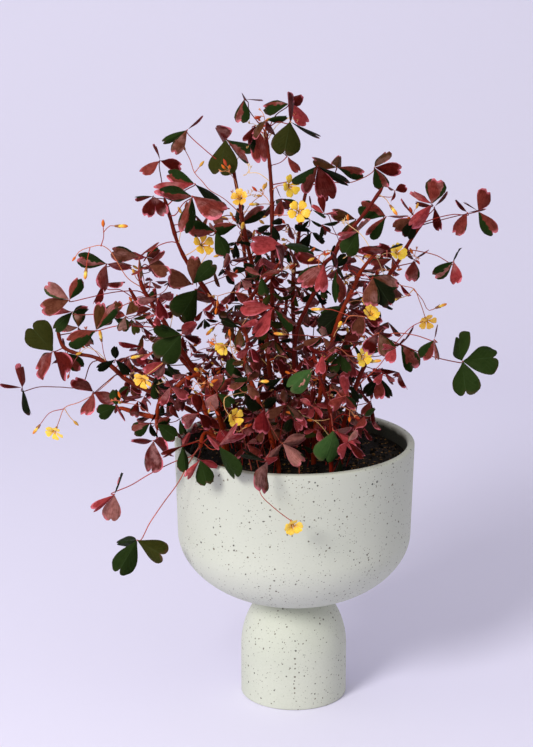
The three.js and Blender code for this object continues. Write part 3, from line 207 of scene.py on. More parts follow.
add_stem(
    "upper_left", root=(-20, 16), lean=-38, radius=2.1, colour=0x74291f, crowd=0,
    path=((-28, 228, 14), (-38, 262, 12), (-48, 286, 10), (-56, 301, 8), (-68, 320, 6), (-78, 335, 4),
        (-86, 352, 4), (-91, 370, 4), (-95, 384, 4)),
    side=(
        ((-48, 286, 10), (-40, 300, 6), (-33, 310, 2), (-27, 318, -8), (-19, 326, -15), (-12, 336, -17)),
    ),
    stalks=(
        ("open", (0.6, -1, 0.5), ((-82, 342, 4), (-75, 345, -2), (-70, 349, -6))),
        ("open", (-0.7, -1, -0.4), ((-46, 282, 10), (-48, 280, 0), (-50, 276, -6))),
        ("shut", None, ((-50, 289, 10), (-56, 292, 2), (-60, 288, -2))),
    ),
    leaves=(
        ("p5m5p0", -98, 412, 6, 16, 0.5, (-111, 404, -83, 408), (-97, 395)),
        ("k4m7m6", -103, 386, -4, 14, 0.7, (-115, 385, -108, 372, -95, 373)),
        ("k5r3d4", -73, 395, -6, 21, 0.7, (-92, 402, -101, 391, -55, 382), (-90, 382, -80, 390)),
        ("k5p5h5", -75, 386, -16, 25, 0.8, (-98, 389, -53, 377, -81, 361), (-87, 372, -80, 381)),
        ("k6g6s4", -58, 360, -8, 17, 0.8, (-77, 363, -50, 344, -63, 368)),
        ("h6b6r4", -109, 341, 6, 16, 0.6, (-99, 348, -95, 332, -120, 345), (-87, 352, -100, 350)),
        ("b5b7g6", -75, 321, -10, 20, 0.8, (-73, 341, -92, 328, -60, 336)),
        ("g9b7o0", -72, 317, 8, 26, 1, (-83, 296, -60, 307)),
        ("r5g4m5", -8, 350, -12, 23, 0.9, (-31, 353, 12, 347, -10, 336)),
        ("g6p4p4", -25, 327, -18, 15, 0.7, (-22, 314, -14, 332)),
        ("r4r5k5", -16, 303, -24, 23, 0.9, (-38, 305, -31, 285, -2, 291)),
        ("d4p6p4", -52, 332, 12, 14, 0.7, (-57, 326, -46, 326, -50, 344)),
        ("m4b4d4", -44, 320, 14, 14, 0.6, (-48, 309, -34, 324)),
    ),
)
add_stem(
    "left", root=(-32, -4), lean=-50, radius=2.1, colour=0x7c2c20, crowd=2,
    path=((-46, 222, -6), (-62, 241, -8), (-77, 260, -10), (-89, 279, -10), (-98, 295, -8),
        (-107, 309, -6), (-112, 318, -6), (-115, 330, -4)),
    stalks=(
        ("bud", None, ((-111, 318, -6), (-123, 325, -10), (-131, 337, -12), (-136, 345, -12),
            (-142, 349, -12), (-150, 348, -12), (-158, 345, -12), (-161, 341, -12))),
        ("bud", None, ((-142, 349, -12), (-140, 356, -12), (-140, 364, -12))),
        ("shut", None, ((-139, 359, -12), (-135, 364, -12), (-131, 364, -12))),
        ("shut", None, ((-150, 348, -12), (-152, 340, -13), (-153, 333, -13))),
        ("bud", None, ((-113, 321, -6), (-117, 326, -10), (-118, 329, -12))),
        ("shut", None, ((-86, 272, -10), (-100, 270, -16), (-113, 267, -20))),
        ("open", (-0.5, -1, -0.6), ((-84, 270, -10), (-97, 262, -22), (-110, 252, -28))),
    ),
    leaves=(
        ("k5p5p4", -138, 336, -8, 20, 0.8, (-158, 341, -140, 318, -120, 334)),
        ("b6p3o3", -114, 341, 8, 19, 0.7, (-133, 346, -104, 352, -112, 328)),
        ("m4b7p2", -107, 335, -12, 15, 0.8, (-98, 345, -95, 331, -118, 330)),
        ("s5k6b6", -166, 309, -8, 18, 0.8, (-181, 321, -159, 325, -186, 303),
            (-113, 315, -125, 316, -140, 314, -152, 311)),
        ("r3g5k6", -164, 300, 8, 16, 0.7, (-180, 303, -178, 288, -152, 303), (-115, 308, -140, 300)),
        ("h5p6b0", -106, 303, 4, 12, 0.6, (-104, 315, -116, 299)),
        ("o7o8p6", -125, 297, -12, 12, 0.6, (-118, 306, -128, 287, -134, 300)),
        ("m6m3b0", -113, 289, 2, 12, 0.6, (-108, 283, -120, 292)),
        ("g5r5g9", -84, 283, -20, 20, 0.9, (-103, 289, -72, 292, -99, 264)),
        ("r4m5d5", -96, 262, -24, 14, 0.6, (-112, 256, -103, 250, -90, 254)),
        ("o6o6g6", -134, 296, 2, 13, 0.7, (-131, 308, -142, 290, -126, 290)),
        ("o6k7h6", -147, 286, -6, 19, 0.8, (-143, 306, -133, 304, -167, 278), (-118, 290, -132, 290)),
    ),
)
add_stem(
    "far_left", root=(-42, 14), lean=45, radius=2.1, colour=0x7a3322, crowd=1,
    path=((-62, 214, 10), (-82, 227, 4), (-97, 234, 0), (-112, 241, -2), (-126, 249, -2), (-138, 260, -2),
        (-150, 266, -2), (-160, 268, -2), (-171, 273, -2), (-176, 288, -2)),
    stalks=(
        ("open", (-0.4, -1, -0.7), ((-132, 254, -2), (-142, 243, -10), (-150, 236, -14), (-161, 230, -16),
            (-172, 226, -16), (-176, 217, -16), (-178, 212, -16))),
        ("shut", None, ((-172, 226, -16), (-184, 222, -16), (-191, 213, -16))),
        ("bud", None, ((-172, 226, -16), (-168, 219, -16), (-165, 216, -16))),
        ("bud", None, ((-160, 268, -2), (-166, 258, 6), (-168, 252, 8))),
        ("shut", None, ((-140, 262, -2), (-142, 272, -8), (-143, 278, -10))),
    ),
    leaves=(
        ("y9p5m5", -179, 270, -8, 25, 0.9, (-196, 289, -194, 255, -170, 252)),
        ("h7m2m0", -170, 269, 6, 16, 0.6, (-158, 257, -180, 262)),
        ("p5d2m0", -203, 242, 8, 20, 0.4, (-202, 260, -197, 221),
            (-150, 262, -160, 243, -175, 243, -190, 243)),
        ("m6p4p5", -150, 239, -14, 19, 0.8, (-164, 250, -158, 222, -134, 231), (-132, 252, -140, 246)),
        ("o5b4o6", -160, 288, 4, 17, 0.7, (-150, 276, -176, 290, -158, 304)),
        ("g6b6m5", -122, 246, 8, 13, 0.6, (-131, 236, -116, 236)),
    ),
)
add_stem(
    "arching", root=(-50, -12), lean=-62, radius=2.3, colour=0x9a4526, crowd=1,
    path=((-58, 225, -16), (-64, 243, -18), (-73, 252, -20), (-82, 248, -22), (-90, 241, -22),
        (-97, 236, -22), (-101, 231, -22), (-103, 221, -22), (-103, 210, -22)),
    side=(
        ((-103, 219, -22), (-112, 221, -18), (-122, 224, -14), (-131, 227, -12)),
    ),
    stalks=(
        ("shut", None, ((-70, 251, -20), (-69, 254, -26), (-71, 255, -30))),
        ("bud", None, ((-66, 246, -19), (-70, 239, -27), (-76, 236, -30))),
    ),
    leaves=(
        ("h8d3m0", -108, 215, -26, 13, 0.8, (-120, 208, -104, 205)),
        ("g7k6p0", -103, 214, -32, 15, 0.8, (-90, 204, -93, 219)),
        ("m3m6m6", -106, 201, -26, 21, 0.9, (-124, 201, -110, 178, -96, 192)),
        ("g8g6r2", -133, 228, -8, 15, 0.7, (-146, 222, -134, 241, -127, 216)),
        ("p3g3g5", -86, 218, -30, 13, 0.7, (-92, 228, -78, 222, -83, 207)),
    ),
)
add_stem(
    "mid_right", root=(6, 14), lean=45, radius=1.9, colour=0x6a241c, crowd=2,
    path=((3, 240, 16), (-1, 290, 18), (-1, 330, 14), (3, 360, 11), (5, 374, 9), (9, 392, 8), (14, 399, 8)),
    leaves=(
        ("o4o8k4", 30, 407, 8, 20, 0.8, (12, 413, 33, 418, 50, 402), (18, 399, 26, 398)),
        ("o6m5k6", 57, 407, 5, 18, 0.8, (66, 419, 77, 405, 65, 392), (18, 396, 40, 397)),
        ("d5d3d0", 10, 350, 14, 16, 0.7, (2, 338, 20, 345, 8, 364)),
        ("r4g2m0", 12, 376, 16, 13, 0.6, (3, 370, 22, 372)),
    ),
)
add_stem(
    "right_of_mid", root=(10, -6), lean=-42, radius=2, colour=0x74261e, crowd=1,
    path=((4, 228, -6), (0, 252, -6), (0, 276, -5), (3, 291, -4), (8, 302, -4), (13, 312, -4),
        (18, 325, -6), (22, 337, -6), (28, 342, -6), (33, 353, -4), (41, 362, -2), (50, 373, 0),
        (57, 383, 2), (63, 392, 4)),
    stalks=(
        ("shut", None, ((60, 387, 3), (66, 383, -3), (69, 379, -6))),
    ),
    leaves=(
        ("m3p6r5", 21, 336, -20, 21, 0.9, (2, 345, 4, 322, 18, 317)),
        ("d3d6m0", 28, 333, -8, 15, 0.6, (30, 349, 38, 342)),
        ("k5d3m0", 30, 331, -14, 23, 0.9, (31, 308, 38, 321)),
        ("g8r5m6", 46, 360, -10, 17, 0.8, (37, 344, 34, 357, 49, 369), (36, 354)),
        ("o5o8m0", 44, 369, 2, 17, 0.8, (27, 375, 37, 357)),
        ("h6h7m0", 66, 371, -4, 19, 0.8, (54, 358, 48, 380), (58, 378)),
        ("m4r3r4", 21, 373, 10, 12, 0.5, (18, 386, 12, 379, 28, 374), (32, 353, 28, 363)),
        ("m8m1m0", 72, 390, 8, 10, 0.5, (80, 393, 70, 383)),
    ),
)
add_stem(
    "right", root=(20, 4), lean=22, radius=2.1, colour=0x84301f, crowd=2,
    path=((25, 225, 6), (33, 262, 8), (42, 285, 9), (52, 304, 9), (64, 321, 8), (75, 337, 6),
        (81, 348, 5), (87, 358, 4), (92, 366, 3), (97, 374, 3)),
    stalks=(
        ("open", (0.5, -1, 0.6), ((80, 346, 5), (76, 344, -4), (73, 343, -9))),
        ("open", (0.5, -0.7, -0.9), ((64, 322, 8), (72, 321, 0), (80, 319, -4), (87, 317, -6),
            (91, 309, -8), (94, 302, -9), (96, 296, -10))),
        ("shut", None, ((87, 317, -6), (94, 309, -4), (99, 301, -3), (104, 303, -3))),
        ("shut", None, ((87, 317, -6), (82, 312, -12), (76, 310, -16))),
    ),
    leaves=(
        ("b6d8p0", 87, 370, -6, 17, 0.8, (72, 362, 82, 356, 78, 384)),
        ("r4p9r5", 99, 380, -8, 18, 0.8, (86, 391, 103, 398, 84, 364)),
        ("m2m3m3", 101, 378, 6, 17, 0.5, (110, 391, 106, 361)),
        ("m2p6m0", 125, 374, 6, 16, 0.7, (116, 384, 115, 359), (105, 371, 115, 373)),
        ("p7k6m0", 133, 375, 0, 18, 0.9, (141, 390, 145, 358, 126, 380), (103, 368, 118, 372)),
        ("k6r5d3", 116, 338, -4, 17, 0.8, (102, 327, 117, 322, 118, 346), (83, 346, 92, 345, 104, 342)),
        ("p7m4m0", 87, 339, 0, 15, 0.9, (86, 323, 79, 346)),
        ("p6m5m3", 71, 340, -10, 18, 0.9, (57, 334, 60, 351, 73, 326)),
    ),
)
add_stem(
    "right_low", root=(14, -22), lean=-70, radius=2, colour=0x8c3a22, crowd=0,
    path=((18, 230, -22), (24, 262, -22), (30, 287, -20), (36, 304, -18), (43, 318, -15), (47, 328, -13),
        (53, 337, -12), (60, 345, -10)),
    stalks=(
        ("open", (0.5, -1, -0.1), ((41, 313, -16), (46, 315, -22), (52, 313, -27))),
        ("open", (0.4, -0.8, 0.9), ((31, 288, -20), (36, 291, -26), (40, 297, -30), (46, 297, -31),
            (53, 296, -31))),
        ("shut", None, ((39, 297, -30), (33, 300, -30), (26, 302, -30), (21, 302, -30))),
        ("shut", None, ((28, 280, -20), (30, 284, -26), (32, 288, -30))),
        ("open", (0.7, -1, 0.2), ((27, 275, -21), (34, 272, -28), (40, 267, -33), (47, 266, -36))),
        ("shut", None, ((36, 270, -30), (46, 261, -32), (55, 262, -33))),
        ("shut", None, ((29, 284, -20), (20, 281, -24), (5, 282, -27), (-7, 283, -28))),
    ),
    leaves=(
        ("m4m2d0", 67, 346, -14, 19, 0.5, (49, 347, 74, 338)),
        ("b7d8b5", 57, 326, -18, 20, 0.9, (56, 307, 69, 307, 75, 323)),
        ("g4d7m4", 38, 303, -22, 20, 0.9, (20, 303, 20, 287, 50, 300)),
        ("b6m5m4", 50, 300, -12, 16, 0.8, (44, 284, 62, 292, 53, 312)),
        ("m8p8d5", 36, 278, -12, 14, 0.8, (40, 268, 46, 284, 26, 284)),
        ("g5b4m2", 8, 276, -14, 14, 0.6, (20, 280, -2, 272, 8, 262)),
        ("g6g7g4", 33, 268, -30, 16, 0.8, (29, 256, 39, 256, 24, 264)),
    ),
)
add_stem(
    "low_right", root=(34, -26), lean=-55, radius=1.9, colour=0x6d241d, crowd=1,
    path=((38, 219, -27), (45, 242, -28), (53, 262, -26), (61, 281, -24)),
    stalks=(
        ("bud", None, ((42, 232, -28), (50, 247, -44), (62, 259, -54), (75, 277, -50), (88, 290, -42),
            (95, 293, -36))),
    ),
    leaves=(
        ("g9g8g8", 124.5, 262.5, -20, 24, 1, (119, 282, 149, 266, 127, 238), (72, 277, 90, 271, 108, 265)),
        ("k7m0m0", 79, 275, -24, 20, 0.9, (87, 257), (68, 279)),
        ("k8p2m0", 103, 279, -16, 16, 0.8, (95, 265, 105, 266), (70, 283, 90, 282)),
        ("o8m6m3", 62, 284, -34, 17, 0.8, (70, 269, 54, 270, 72, 283)),
        ("r7r6m0", 75, 273, -36, 11, 0.7, (70, 263, 68, 273)),
        ("d5p6d4", 63, 250, -22, 16, 0.8, (53, 237, 63, 235, 72, 236), (50, 250)),
        ("p7d5m4", 40, 244, -36, 15, 0.7, (33, 232, 49, 234, 30, 250)),
        ("p8m2p5", 57, 232, -34, 12, 0.7, (52, 222, 60, 214)),
    ),
)
add_stem(
    "front", root=(-12, -46), lean=-30, radius=1.8, colour=0x8f3d28, crowd=0,
    path=((-18, 205, -48), (-24, 225, -50), (-30, 240, -48), (-34, 252, -46), (-37, 264, -42),
        (-35, 278, -38), (-39, 290, -34)),
    stalks=(
        ("shut", None, ((-33, 250, -46), (-29, 247, -51), (-26, 247, -54))),
        ("bud", None, ((-38, 262, -42), (-44, 264, -46), (-47, 272, -48), (-48, 282, -48))),
        ("open", (0.8, -1, 0), ((-31, 240, -48), (-44, 237, -55), (-52, 234, -60), (-52, 226, -63),
            (-49, 221, -65))),
        ("open", (0.4, -0.6, -0.9), ((-14, 200, -48), (-19, 193, -74), (-24, 178, -98), (-27, 160, -103),
            (-16, 148, -103), (-7, 141, -102), (-3, 138, -101))),
    ),
    leaves=(
        ("p6g6d5", -28, 251, -54, 20, 0.9, (-27, 270, -40, 246, -16, 246)),
        ("s4s3s6", -9, 199, -70, 20, 0.8, (8, 204, -22, 184, 5, 186), (-25, 229, -17, 211)),
        ("b5r3d5", -21, 185, -84, 22, 0.9, (-24, 163, -12, 188, -34, 190), (-24, 196)),
        ("d6d6m7", -9, 250, -44, 17, 0.8, (-19, 243, 0, 240, -8, 262)),
        ("o5d4r4", -41, 288, -42, 13, 0.8, (-42, 274, -53, 294, -29, 294)),
        ("c6d5d5", -23, 226, -60, 18, 0.8, (-24, 208, -36, 234, -12, 234)),
        ("g7k6p5", -38, 250, -30, 17, 0.8, (-43, 236, -52, 256, -28, 262)),
        ("r4d6m4", -2, 219, -58, 14, 0.7, (8, 213, -8, 208, -2, 232)),
    ),
)
add_stem(
    "front_right", root=(26, -50), lean=-25, radius=1.7, colour=0x7c2a24, crowd=1,
    path=((27, 200, -51), (27, 222, -52), (22, 240, -50), (17, 256, -48), (14, 268, -46)),
    stalks=(
        ("bud", None, ((27, 219, -52), (20, 217, -60), (13, 217, -64))),
    ),
    leaves=(
        ("G8r4s3", 29.5, 209, -60, 22, 1, (25, 186, 45, 200, 44, 213), (27, 222)),
        ("G6r4m0", 14, 257, -56, 20, 0.9, (-3, 243, 22, 268), (20, 250)),
        ("r6m4m3", 21, 268, -54, 15, 0.8, (18, 256, 28, 276, 10, 274)),
        ("p7h5r5", 38, 236, -52, 15, 0.8, (30, 228, 46, 226, 38, 250)),
        ("r5m4s4", 40, 200, -64, 14, 0.7, (36, 190, 52, 190, 46, 210), (30, 212)),
        ("r4r3m4", 13, 228, -58, 12, 0.7, (4, 232, 20, 220, 14, 240)),
        ("p7g4m0", 52, 220, -44, 13, 0.7, (48, 212, 60, 226), (36, 222)),
    ),
)
add_stem(
    "front_left", root=(-50, -38), lean=0, radius=2, colour=0x9a4228, crowd=0,
    path=((-58, 203, -42), (-67, 207, -46), (-71, 195, -56)),
    side=(
        ((-62, 206, -43), (-66, 222, -44), (-70, 236, -44)),
    ),
    stalks=(
        ("shut", None, ((-70, 203, -50), (-80, 199, -52), (-88, 195, -54))),
        ("bud", None, ((-69, 200, -53), (-61, 194, -62), (-57, 195, -66))),
    ),
    leaves=(
        ("g8r4r4", -71, 186, -72, 17, 0.9, (-66, 168, -80, 174, -58, 180), (-71, 193)),
        ("g5r3c6", -57, 197, -64, 25, 0.8, (-45, 174, -66, 206, -46, 206), (-62, 204)),
        ("g5m4r3", -84, 197, -60, 17, 0.8, (-82, 178, -96, 190, -78, 208), (-74, 200)),
        ("c6c4m5", -56, 210, -58, 13, 0.8, (-57, 197, -44, 203, -64, 218)),
        ("m6c7m6", -72, 222, -56, 15, 0.8, (-62, 213, -82, 214, -72, 236)),
        ("s8g6p7", -58, 238, -56, 15, 0.8, (-64, 226, -48, 230, -58, 252)),
        ("s7r4g0", -136, 158.5, -30, 20, 0.9, (-139, 138, -150, 147),
            (-76, 190, -90, 185, -110, 175, -124, 166), (-54, -50, -42, -34)),
        ("g6y7g4", -119.5, 122, -52, 24, 1, (-134, 97, -101, 110, -137, 119),
            (-75, 191, -79, 184, -88, 167, -100, 150, -110, 135), (-56, -58, -58, -56, -54)),
        ("p6d5g5", -47, 250, -50, 15, 0.8, (-56, 240, -38, 246, -50, 264), (-66, 232, -58, 244)),
    ),
)
add_stem(
    "back", root=(-16, 34), lean=40, radius=2, colour=0x74291f, crowd=5,
    path=((-20, 240, 44), (-26, 280, 52), (-34, 320, 56), (-38, 352, 54), (-40, 384, 48)),
)
add_stem(
    "back_left", root=(-40, 40), lean=45, radius=2, colour=0x7c2c20, crowd=5,
    path=((-56, 228, 52), (-76, 254, 62), (-96, 280, 66), (-112, 300, 64), (-122, 318, 58)),
)
add_stem(
    "back_right", root=(14, 36), lean=40, radius=2, colour=0x84301f, crowd=5,
    path=((24, 232, 46), (36, 266, 54), (48, 296, 58), (58, 322, 56), (64, 344, 50)),
)
add_stem(
    "far_back", root=(0, 60), lean=25, radius=1.9, colour=0x6a241c, crowd=4,
    path=((-2, 222, 72), (-6, 250, 84), (-8, 282, 92), (-6, 312, 94)),
)
add_stem(
    "low_back_left", root=(-52, 22), lean=60, radius=1.9, colour=0x7a3322, crowd=4,
    path=((-66, 222, 32), (-90, 240, 44), (-112, 252, 52), (-128, 264, 54)),
)


def unit(vector):
    return vector / math.sqrt(float(vector @ vector))


def cross(a, b):
    return np.array((a[1] * b[2] - a[2] * b[1], a[2] * b[0] - a[0] * b[2], a[0] * b[1] - a[1] * b[0]))


def lerp(start, end, share):
    return (1 - share) * start + share * end


def clamp(value, low, high):
    return min(max(value, low), high)


def seen(x, height, depth):
    """The point that the onlooker sees at x and height on the plane through the axis, moved in depth."""
    point = np.array((x, 0.0, height))
    return point - (point - EYE) * (depth / EYE[1])


def on_stem(stem, x, height, depth):
    out = math.hypot(x - stem["root"][0], height - SOIL_HEIGHT)
    return seen(x, height, depth + stem["lean"] * out / LEAN_SPAN)


def planter_room(x, y, z):
    """How far a point is from the bowl's wall and the soil."""
    out = math.hypot(x, y)
    above_rim = z - RIM_HEIGHT
    if above_rim > WIDE_ROOM:
        return WIDE_ROOM
    if out > RIM_RADIUS - WALL / 2:
        return max(out - RIM_RADIUS, above_rim)
    return min(max(SIDE_RADIUS - WALL - out, above_rim), z - SOIL_HEIGHT - SOIL_RELIEF)


def cell_of(x, y, z):
    return math.floor(x / CELL), math.floor(y / CELL), math.floor(z / CELL)


class Thicket:
    """What already grows, as balls kept in cells, so that later leaves are set clear of it."""

    def __init__(self):
        self.cells = {}

    def keep(self, balls, owner):
        for x, y, z, radius in balls:
            i, j, k = cell_of(x, y, z)
            for a in (i - 1, i, i + 1):
                for b in (j - 1, j, j + 1):
                    for c in (k - 1, k, k + 1):
                        self.cells.setdefault((a, b, c), []).append((x, y, z, radius, owner))

    def room(self, balls, own_stem=None):
        """The least room that the balls have, not counting what their own stem has placed if it is named."""
        least = WIDE_ROOM
        for x, y, z, radius in balls:
            least = min(least, planter_room(x, y, z) - radius)
            for ox, oy, oz, other, owner in self.cells.get(cell_of(x, y, z), ()):
                if own_stem is None or owner != own_stem:
                    away = math.sqrt((x - ox) ** 2 + (y - oy) ** 2 + (z - oz) ** 2)
                    least = min(least, away - radius - other)
        return least


def balls_along(points, radius):
    balls = []
    for start, end in zip(points, points[1:]):
        gap = end - start
        count = max(1, math.ceil(math.sqrt(float(gap @ gap)) / BALL_SPACING))
        balls += [(*(start + gap * (k / count)), radius) for k in range(count)]
    return balls + [(*points[-1], radius)]


def leaflet_balls(leaf, radius=LEAFLET_BALL_RADIUS):
    balls = []
    for way, normal, length, width, fold in leaf["leaflets"]:
        left = cross(normal, way)
        for along, across in LEAFLET_BALLS:
            drop = abs(across) * width * math.sin(fold) + LEAFLET_SAG * along * length
            point = leaf["hub"] + way * (along * length) + left * (across * width * math.cos(fold))
            balls.append((*(point - normal * drop), radius))
    return balls


def leaf_ways(hub, seen_hub, length, facing, tips):
    """Each leaflet is seen to reach its tip. A leaflet with no tip given points away from the others."""
    sight = unit(hub - EYE)
    reach = []
    for x, height in zip(tips[::2], tips[1::2]):
        flat = seen(x, height, 0) - seen_hub
        flat = flat - sight * float(flat @ sight)
        square = float(flat @ flat)
        far = max(length, math.sqrt(square))
        reach.append((flat, far, math.sqrt(max(0.0, far * far - square))))
    best = None
    for choice in range(2 ** len(reach)):
        ways = [unit(flat + sight * (off if choice >> i & 1 else -off))
                for i, (flat, _, off) in enumerate(reach)]
        spread = DROOP_FAVOUR * sum(way[2] * way[1] for way in ways)
        for a in range(len(ways)):
            for b in range(a):
                spread -= max(WIDE_ENOUGH, float(ways[a] @ ways[b]))
        if best is None or spread > best[0] + EVEN:
            best = (spread, ways)
    ways = best[1]
    lengths = [far for _, far, _ in reach]
    look_up = unit(UP * (1 - facing) - sight * facing)
    while len(ways) < 3:
        away = -sum(ways)
        if len(ways) == 1:
            away = away * LONE_TIP_BACK + cross(ways[0], look_up) * LONE_TIP_ASIDE
        ways.append(unit(away + sight * HIDDEN_LEAFLET_BACK))
        lengths.append(length * HIDDEN_LEAFLET_SIZE)
    return ways, lengths, look_up


def slimness(length):
    """A leaflet's width as a share of its length: small ones are narrow and large ones round."""
    share = (length - SMALL_LEAFLET[0]) / (LARGE_LEAFLET[0] - SMALL_LEAFLET[0])
    return lerp(SMALL_LEAFLET[1], LARGE_LEAFLET[1], clamp(share, 0, 1))


def spread_leaf(hub, ways, lengths, look_up, facing):
    """The leaf's axis and each leaflet's upper side, width and fold, from the ways that they point."""
    axis = np.zeros(3)
    for way, after in zip(ways, ways[1:] + ways[:1]):
        turn = cross(way, after)
        axis = axis + turn * (math.copysign(1, turn @ look_up) if turn @ look_up else 1)
    axis = unit(unit(axis) + look_up * AXIS_LOOKS_UP)
    leaflets = []
    for i, (way, length) in enumerate(zip(ways, lengths)):
        normal = unit(axis - way * float(axis @ way))
        crowding = min(math.acos(clamp(float(way @ other), -1, 1)) for j, other in enumerate(ways) if j != i)
        squeeze = clamp(crowding / FREE_TURN, LEAST_SQUEEZE, 1)
        leaflets.append((way, normal, length, length * slimness(length) * squeeze,
                         lerp(STEEP_FOLD, FLAT_FOLD, facing)))
    return {"hub": hub, "axis": axis, "leaflets": leaflets}


def leaf_stalk(start, via, leaf):
    """The way of a leaf's stalk: from under the leaf, past the points where it is seen, to its stem."""
    hub = leaf["hub"]
    far = math.sqrt(float((start - hub) @ (start - hub)))
    under = hub - leaf["axis"] * min(NECK_LENGTH, NECK_SHARE * far)
    if via:
        return [under, *reversed(via), start]
    if far < SHORT_LEAF_STALK:
        return [under, start]
    return [under, lerp(start, under, ARCH_AT) + UP * (ARCH_RISE * far), start]


def spring_point(wood, target):
    """The point of a stem from which a leaf's stalk springs: near the leaf, and lower than it."""
    best = None
    for x, y, z, _ in wood:
        distance = math.sqrt((x - target[0]) ** 2 + (y - target[1]) ** 2 + (z - target[2]) ** 2)
        cost = (distance + SPRING_ABOVE * max(0, z - target[2] + SPRING_DROP)
                + SPRING_NEAR * max(0, SPRING_LEAST - distance))
        if z > SOIL_HEIGHT + SPRING_CLEAR and (best is None or cost < best[0]):
            best = (cost, (x, y, z))
    return np.array(best[1])


def measured(leaf, stalk, name, thicket):
    """A leaf with its stalk, and the room that both have."""
    balls = leaflet_balls(leaf)
    stalk_balls = balls_along(stalk, STALK_BALL_RADIUS)
    room = min(thicket.room(balls), thicket.room(stalk_balls[:-BALLS_AT_SPRING], name))
    return {**leaf, "stalk": stalk, "room": room, "balls": balls + stalk_balls}


def hand_leaf(row, item, thicket):
    """A leaf at its seen place, moved in depth until it is clear."""
    looks, x, height, depth, length, facing, tips, *more = row
    way = more[0] if more else ()
    way_depths = more[1] if len(more) > 1 else ()
    stem = item["stem"]
    first = on_stem(stem, way[0], way[1], way_depths[0] if way_depths else depth) if way else None
    best = None
    for offset in DEPTH_TRIES:
        hub = on_stem(stem, x, height, depth + offset)
        ways, lengths, look_up = leaf_ways(hub, seen(x, height, 0), length, facing, tips)
        leaf = spread_leaf(hub, ways, lengths, look_up, facing)
        start = spring_point(item["wood"], hub if first is None else first)
        via = []
        for i in range(len(way) // 2):
            share = (i + 1) / (len(way) / 2 + 1)
            way_x, way_height = way[2 * i:2 * i + 2]
            via.append(on_stem(stem, way_x, way_height, way_depths[i]) if way_depths
                       else seen(way_x, way_height, lerp(start[1], hub[1], share)))
        made = measured(leaf, leaf_stalk(start, via, leaf), item["name"], thicket)
        if best is None or made["room"] > best["room"]:
            best = made
        if best["room"] > 0:
            break
    return {**best, "tones": looks[::2], "widths": [int(digit) for digit in looks[1::2]]}


class Draws:
    """Draws that come out the same every time, as on the solids."""

    def __init__(self, state):
        self.state = state

    def between(self, low, high):
        self.state = (self.state * DRAW_FACTOR + DRAW_STEP) % DRAW_RANGE
        return low + (high - low) * (self.state / DRAW_RANGE)


def leaf_on_stalk(start, outward, reach, lift, length, spin, look_out, droop):
    """A leaf of three even leaflets that stands out from the point where its stalk springs."""
    hub = start + outward * (reach * math.cos(lift)) + UP * (reach * math.sin(lift))
    look_up = unit(UP + outward * look_out)
    east = unit(cross(outward, look_up))
    north = cross(look_up, east)
    ways = [unit(east * math.cos(spin + FULL_TURN * k / 3) + north * math.sin(spin + FULL_TURN * k / 3)
                 - look_up * droop) for k in range(3)]
    leaf = spread_leaf(hub, ways, [length] * 3, look_up, CROWD_FACING)
    return leaf, leaf_stalk(start, [], leaf)


def rule_leaf(number, item, thicket, draws):
    """A small leaf that grows by rule: it leaves the stem at a golden turn from the last one."""
    share = lerp(CROWD_LOW, CROWD_HIGH, (number + 0.5) / item["stem"]["crowd"])
    start = np.array(item["wood"][math.floor(len(item["wood"]) * share)][:3])
    reach = draws.between(*CROWD_REACH)
    lift = draws.between(*CROWD_LIFT)
    length = draws.between(*CROWD_LENGTH)
    spin = draws.between(0, FULL_TURN)
    best = None
    for attempt in range(CROWD_TRIES):
        turn = GOLDEN_TURN * number + CROWD_RETRY_TURN * attempt
        outward = unit(np.array((CROWD_SIDEWAYS * math.cos(turn), math.sin(turn), 0.0)))
        leaf, stalk = leaf_on_stalk(start, outward, reach, lift, length, spin, CROWD_LOOK_OUT, CROWD_DROOP)
        made = measured(leaf, stalk, item["name"], thicket)
        if best is None or made["room"] > best["room"]:
            best = made
        if best["room"] > 0:
            break
    return best


def wood_of(key, stem, thicket):
    """A stem's wood: the part that stands in the soil, the stem itself and its side branches."""
    root_x, root_y = stem["root"]
    foot = [np.array((root_x, root_y, height)) for height in
            (SOIL_HEIGHT - HOLE_DEPTH + SEAT_GAP, SOIL_HEIGHT + SOIL_RELIEF + stem["radius"])]
    trunk, *branches = [[on_stem(stem, *row) for row in path]
                        for path in (stem["path"], *stem.get("side", ()))]
    item = {"name": "stem_" + key, "stem": stem, "runs": [foot + trunk, *branches], "sprays": [],
            "stalks": [], "leaves": [], "wood": []}
    for run in [[foot[1], *trunk], *branches]:
        item["wood"] += balls_along(run, stem["radius"] + STEM_BALL_MARGIN)
    thicket.keep(item["wood"], item["name"])
    return item


def add_stalk(item, kind, face, path, blooms, thicket):
    """A flower stalk, with the bloom or the small bud that it ends in."""
    route = [on_stem(item["stem"], *row) for row in path]
    route[0] = np.array(min(item["wood"] + item["sprays"],
                            key=lambda ball: math.dist(ball[:3], route[0]))[:3])
    heading = unit(route[-1] - route[-2])
    balls = balls_along(route, FLOWER_STALK_BALL_RADIUS)
    item["sprays"] += balls
    item["stalks"].append((kind, route))
    thicket.keep(balls, item["name"])
    if kind == "bud":
        return
    facing = unit(np.array(face, float)) if face else heading
    facing = unit(facing + heading * max(0.0, LEAST_FORWARD - float(facing @ heading)))
    turn = math.sin(math.acos(clamp(float(facing @ heading), -1, 1)))
    base = route[-1] + heading * (SEAT_GAP + CUP_CLEARANCE * turn)
    tip = base + facing * (TRUMPET_LENGTH if kind == "open" else SHUT_LENGTH)
    thicket.keep(balls_along([base, tip], BLOOM_BALL_RADIUS), "bloom")
    if kind == "open":
        thicket.keep([(*tip, PETAL_LENGTH)], "bloom")
    blooms.append({"name": f"bloom_{len(blooms) + 1:02d}", "kind": kind, "base": base, "facing": facing})


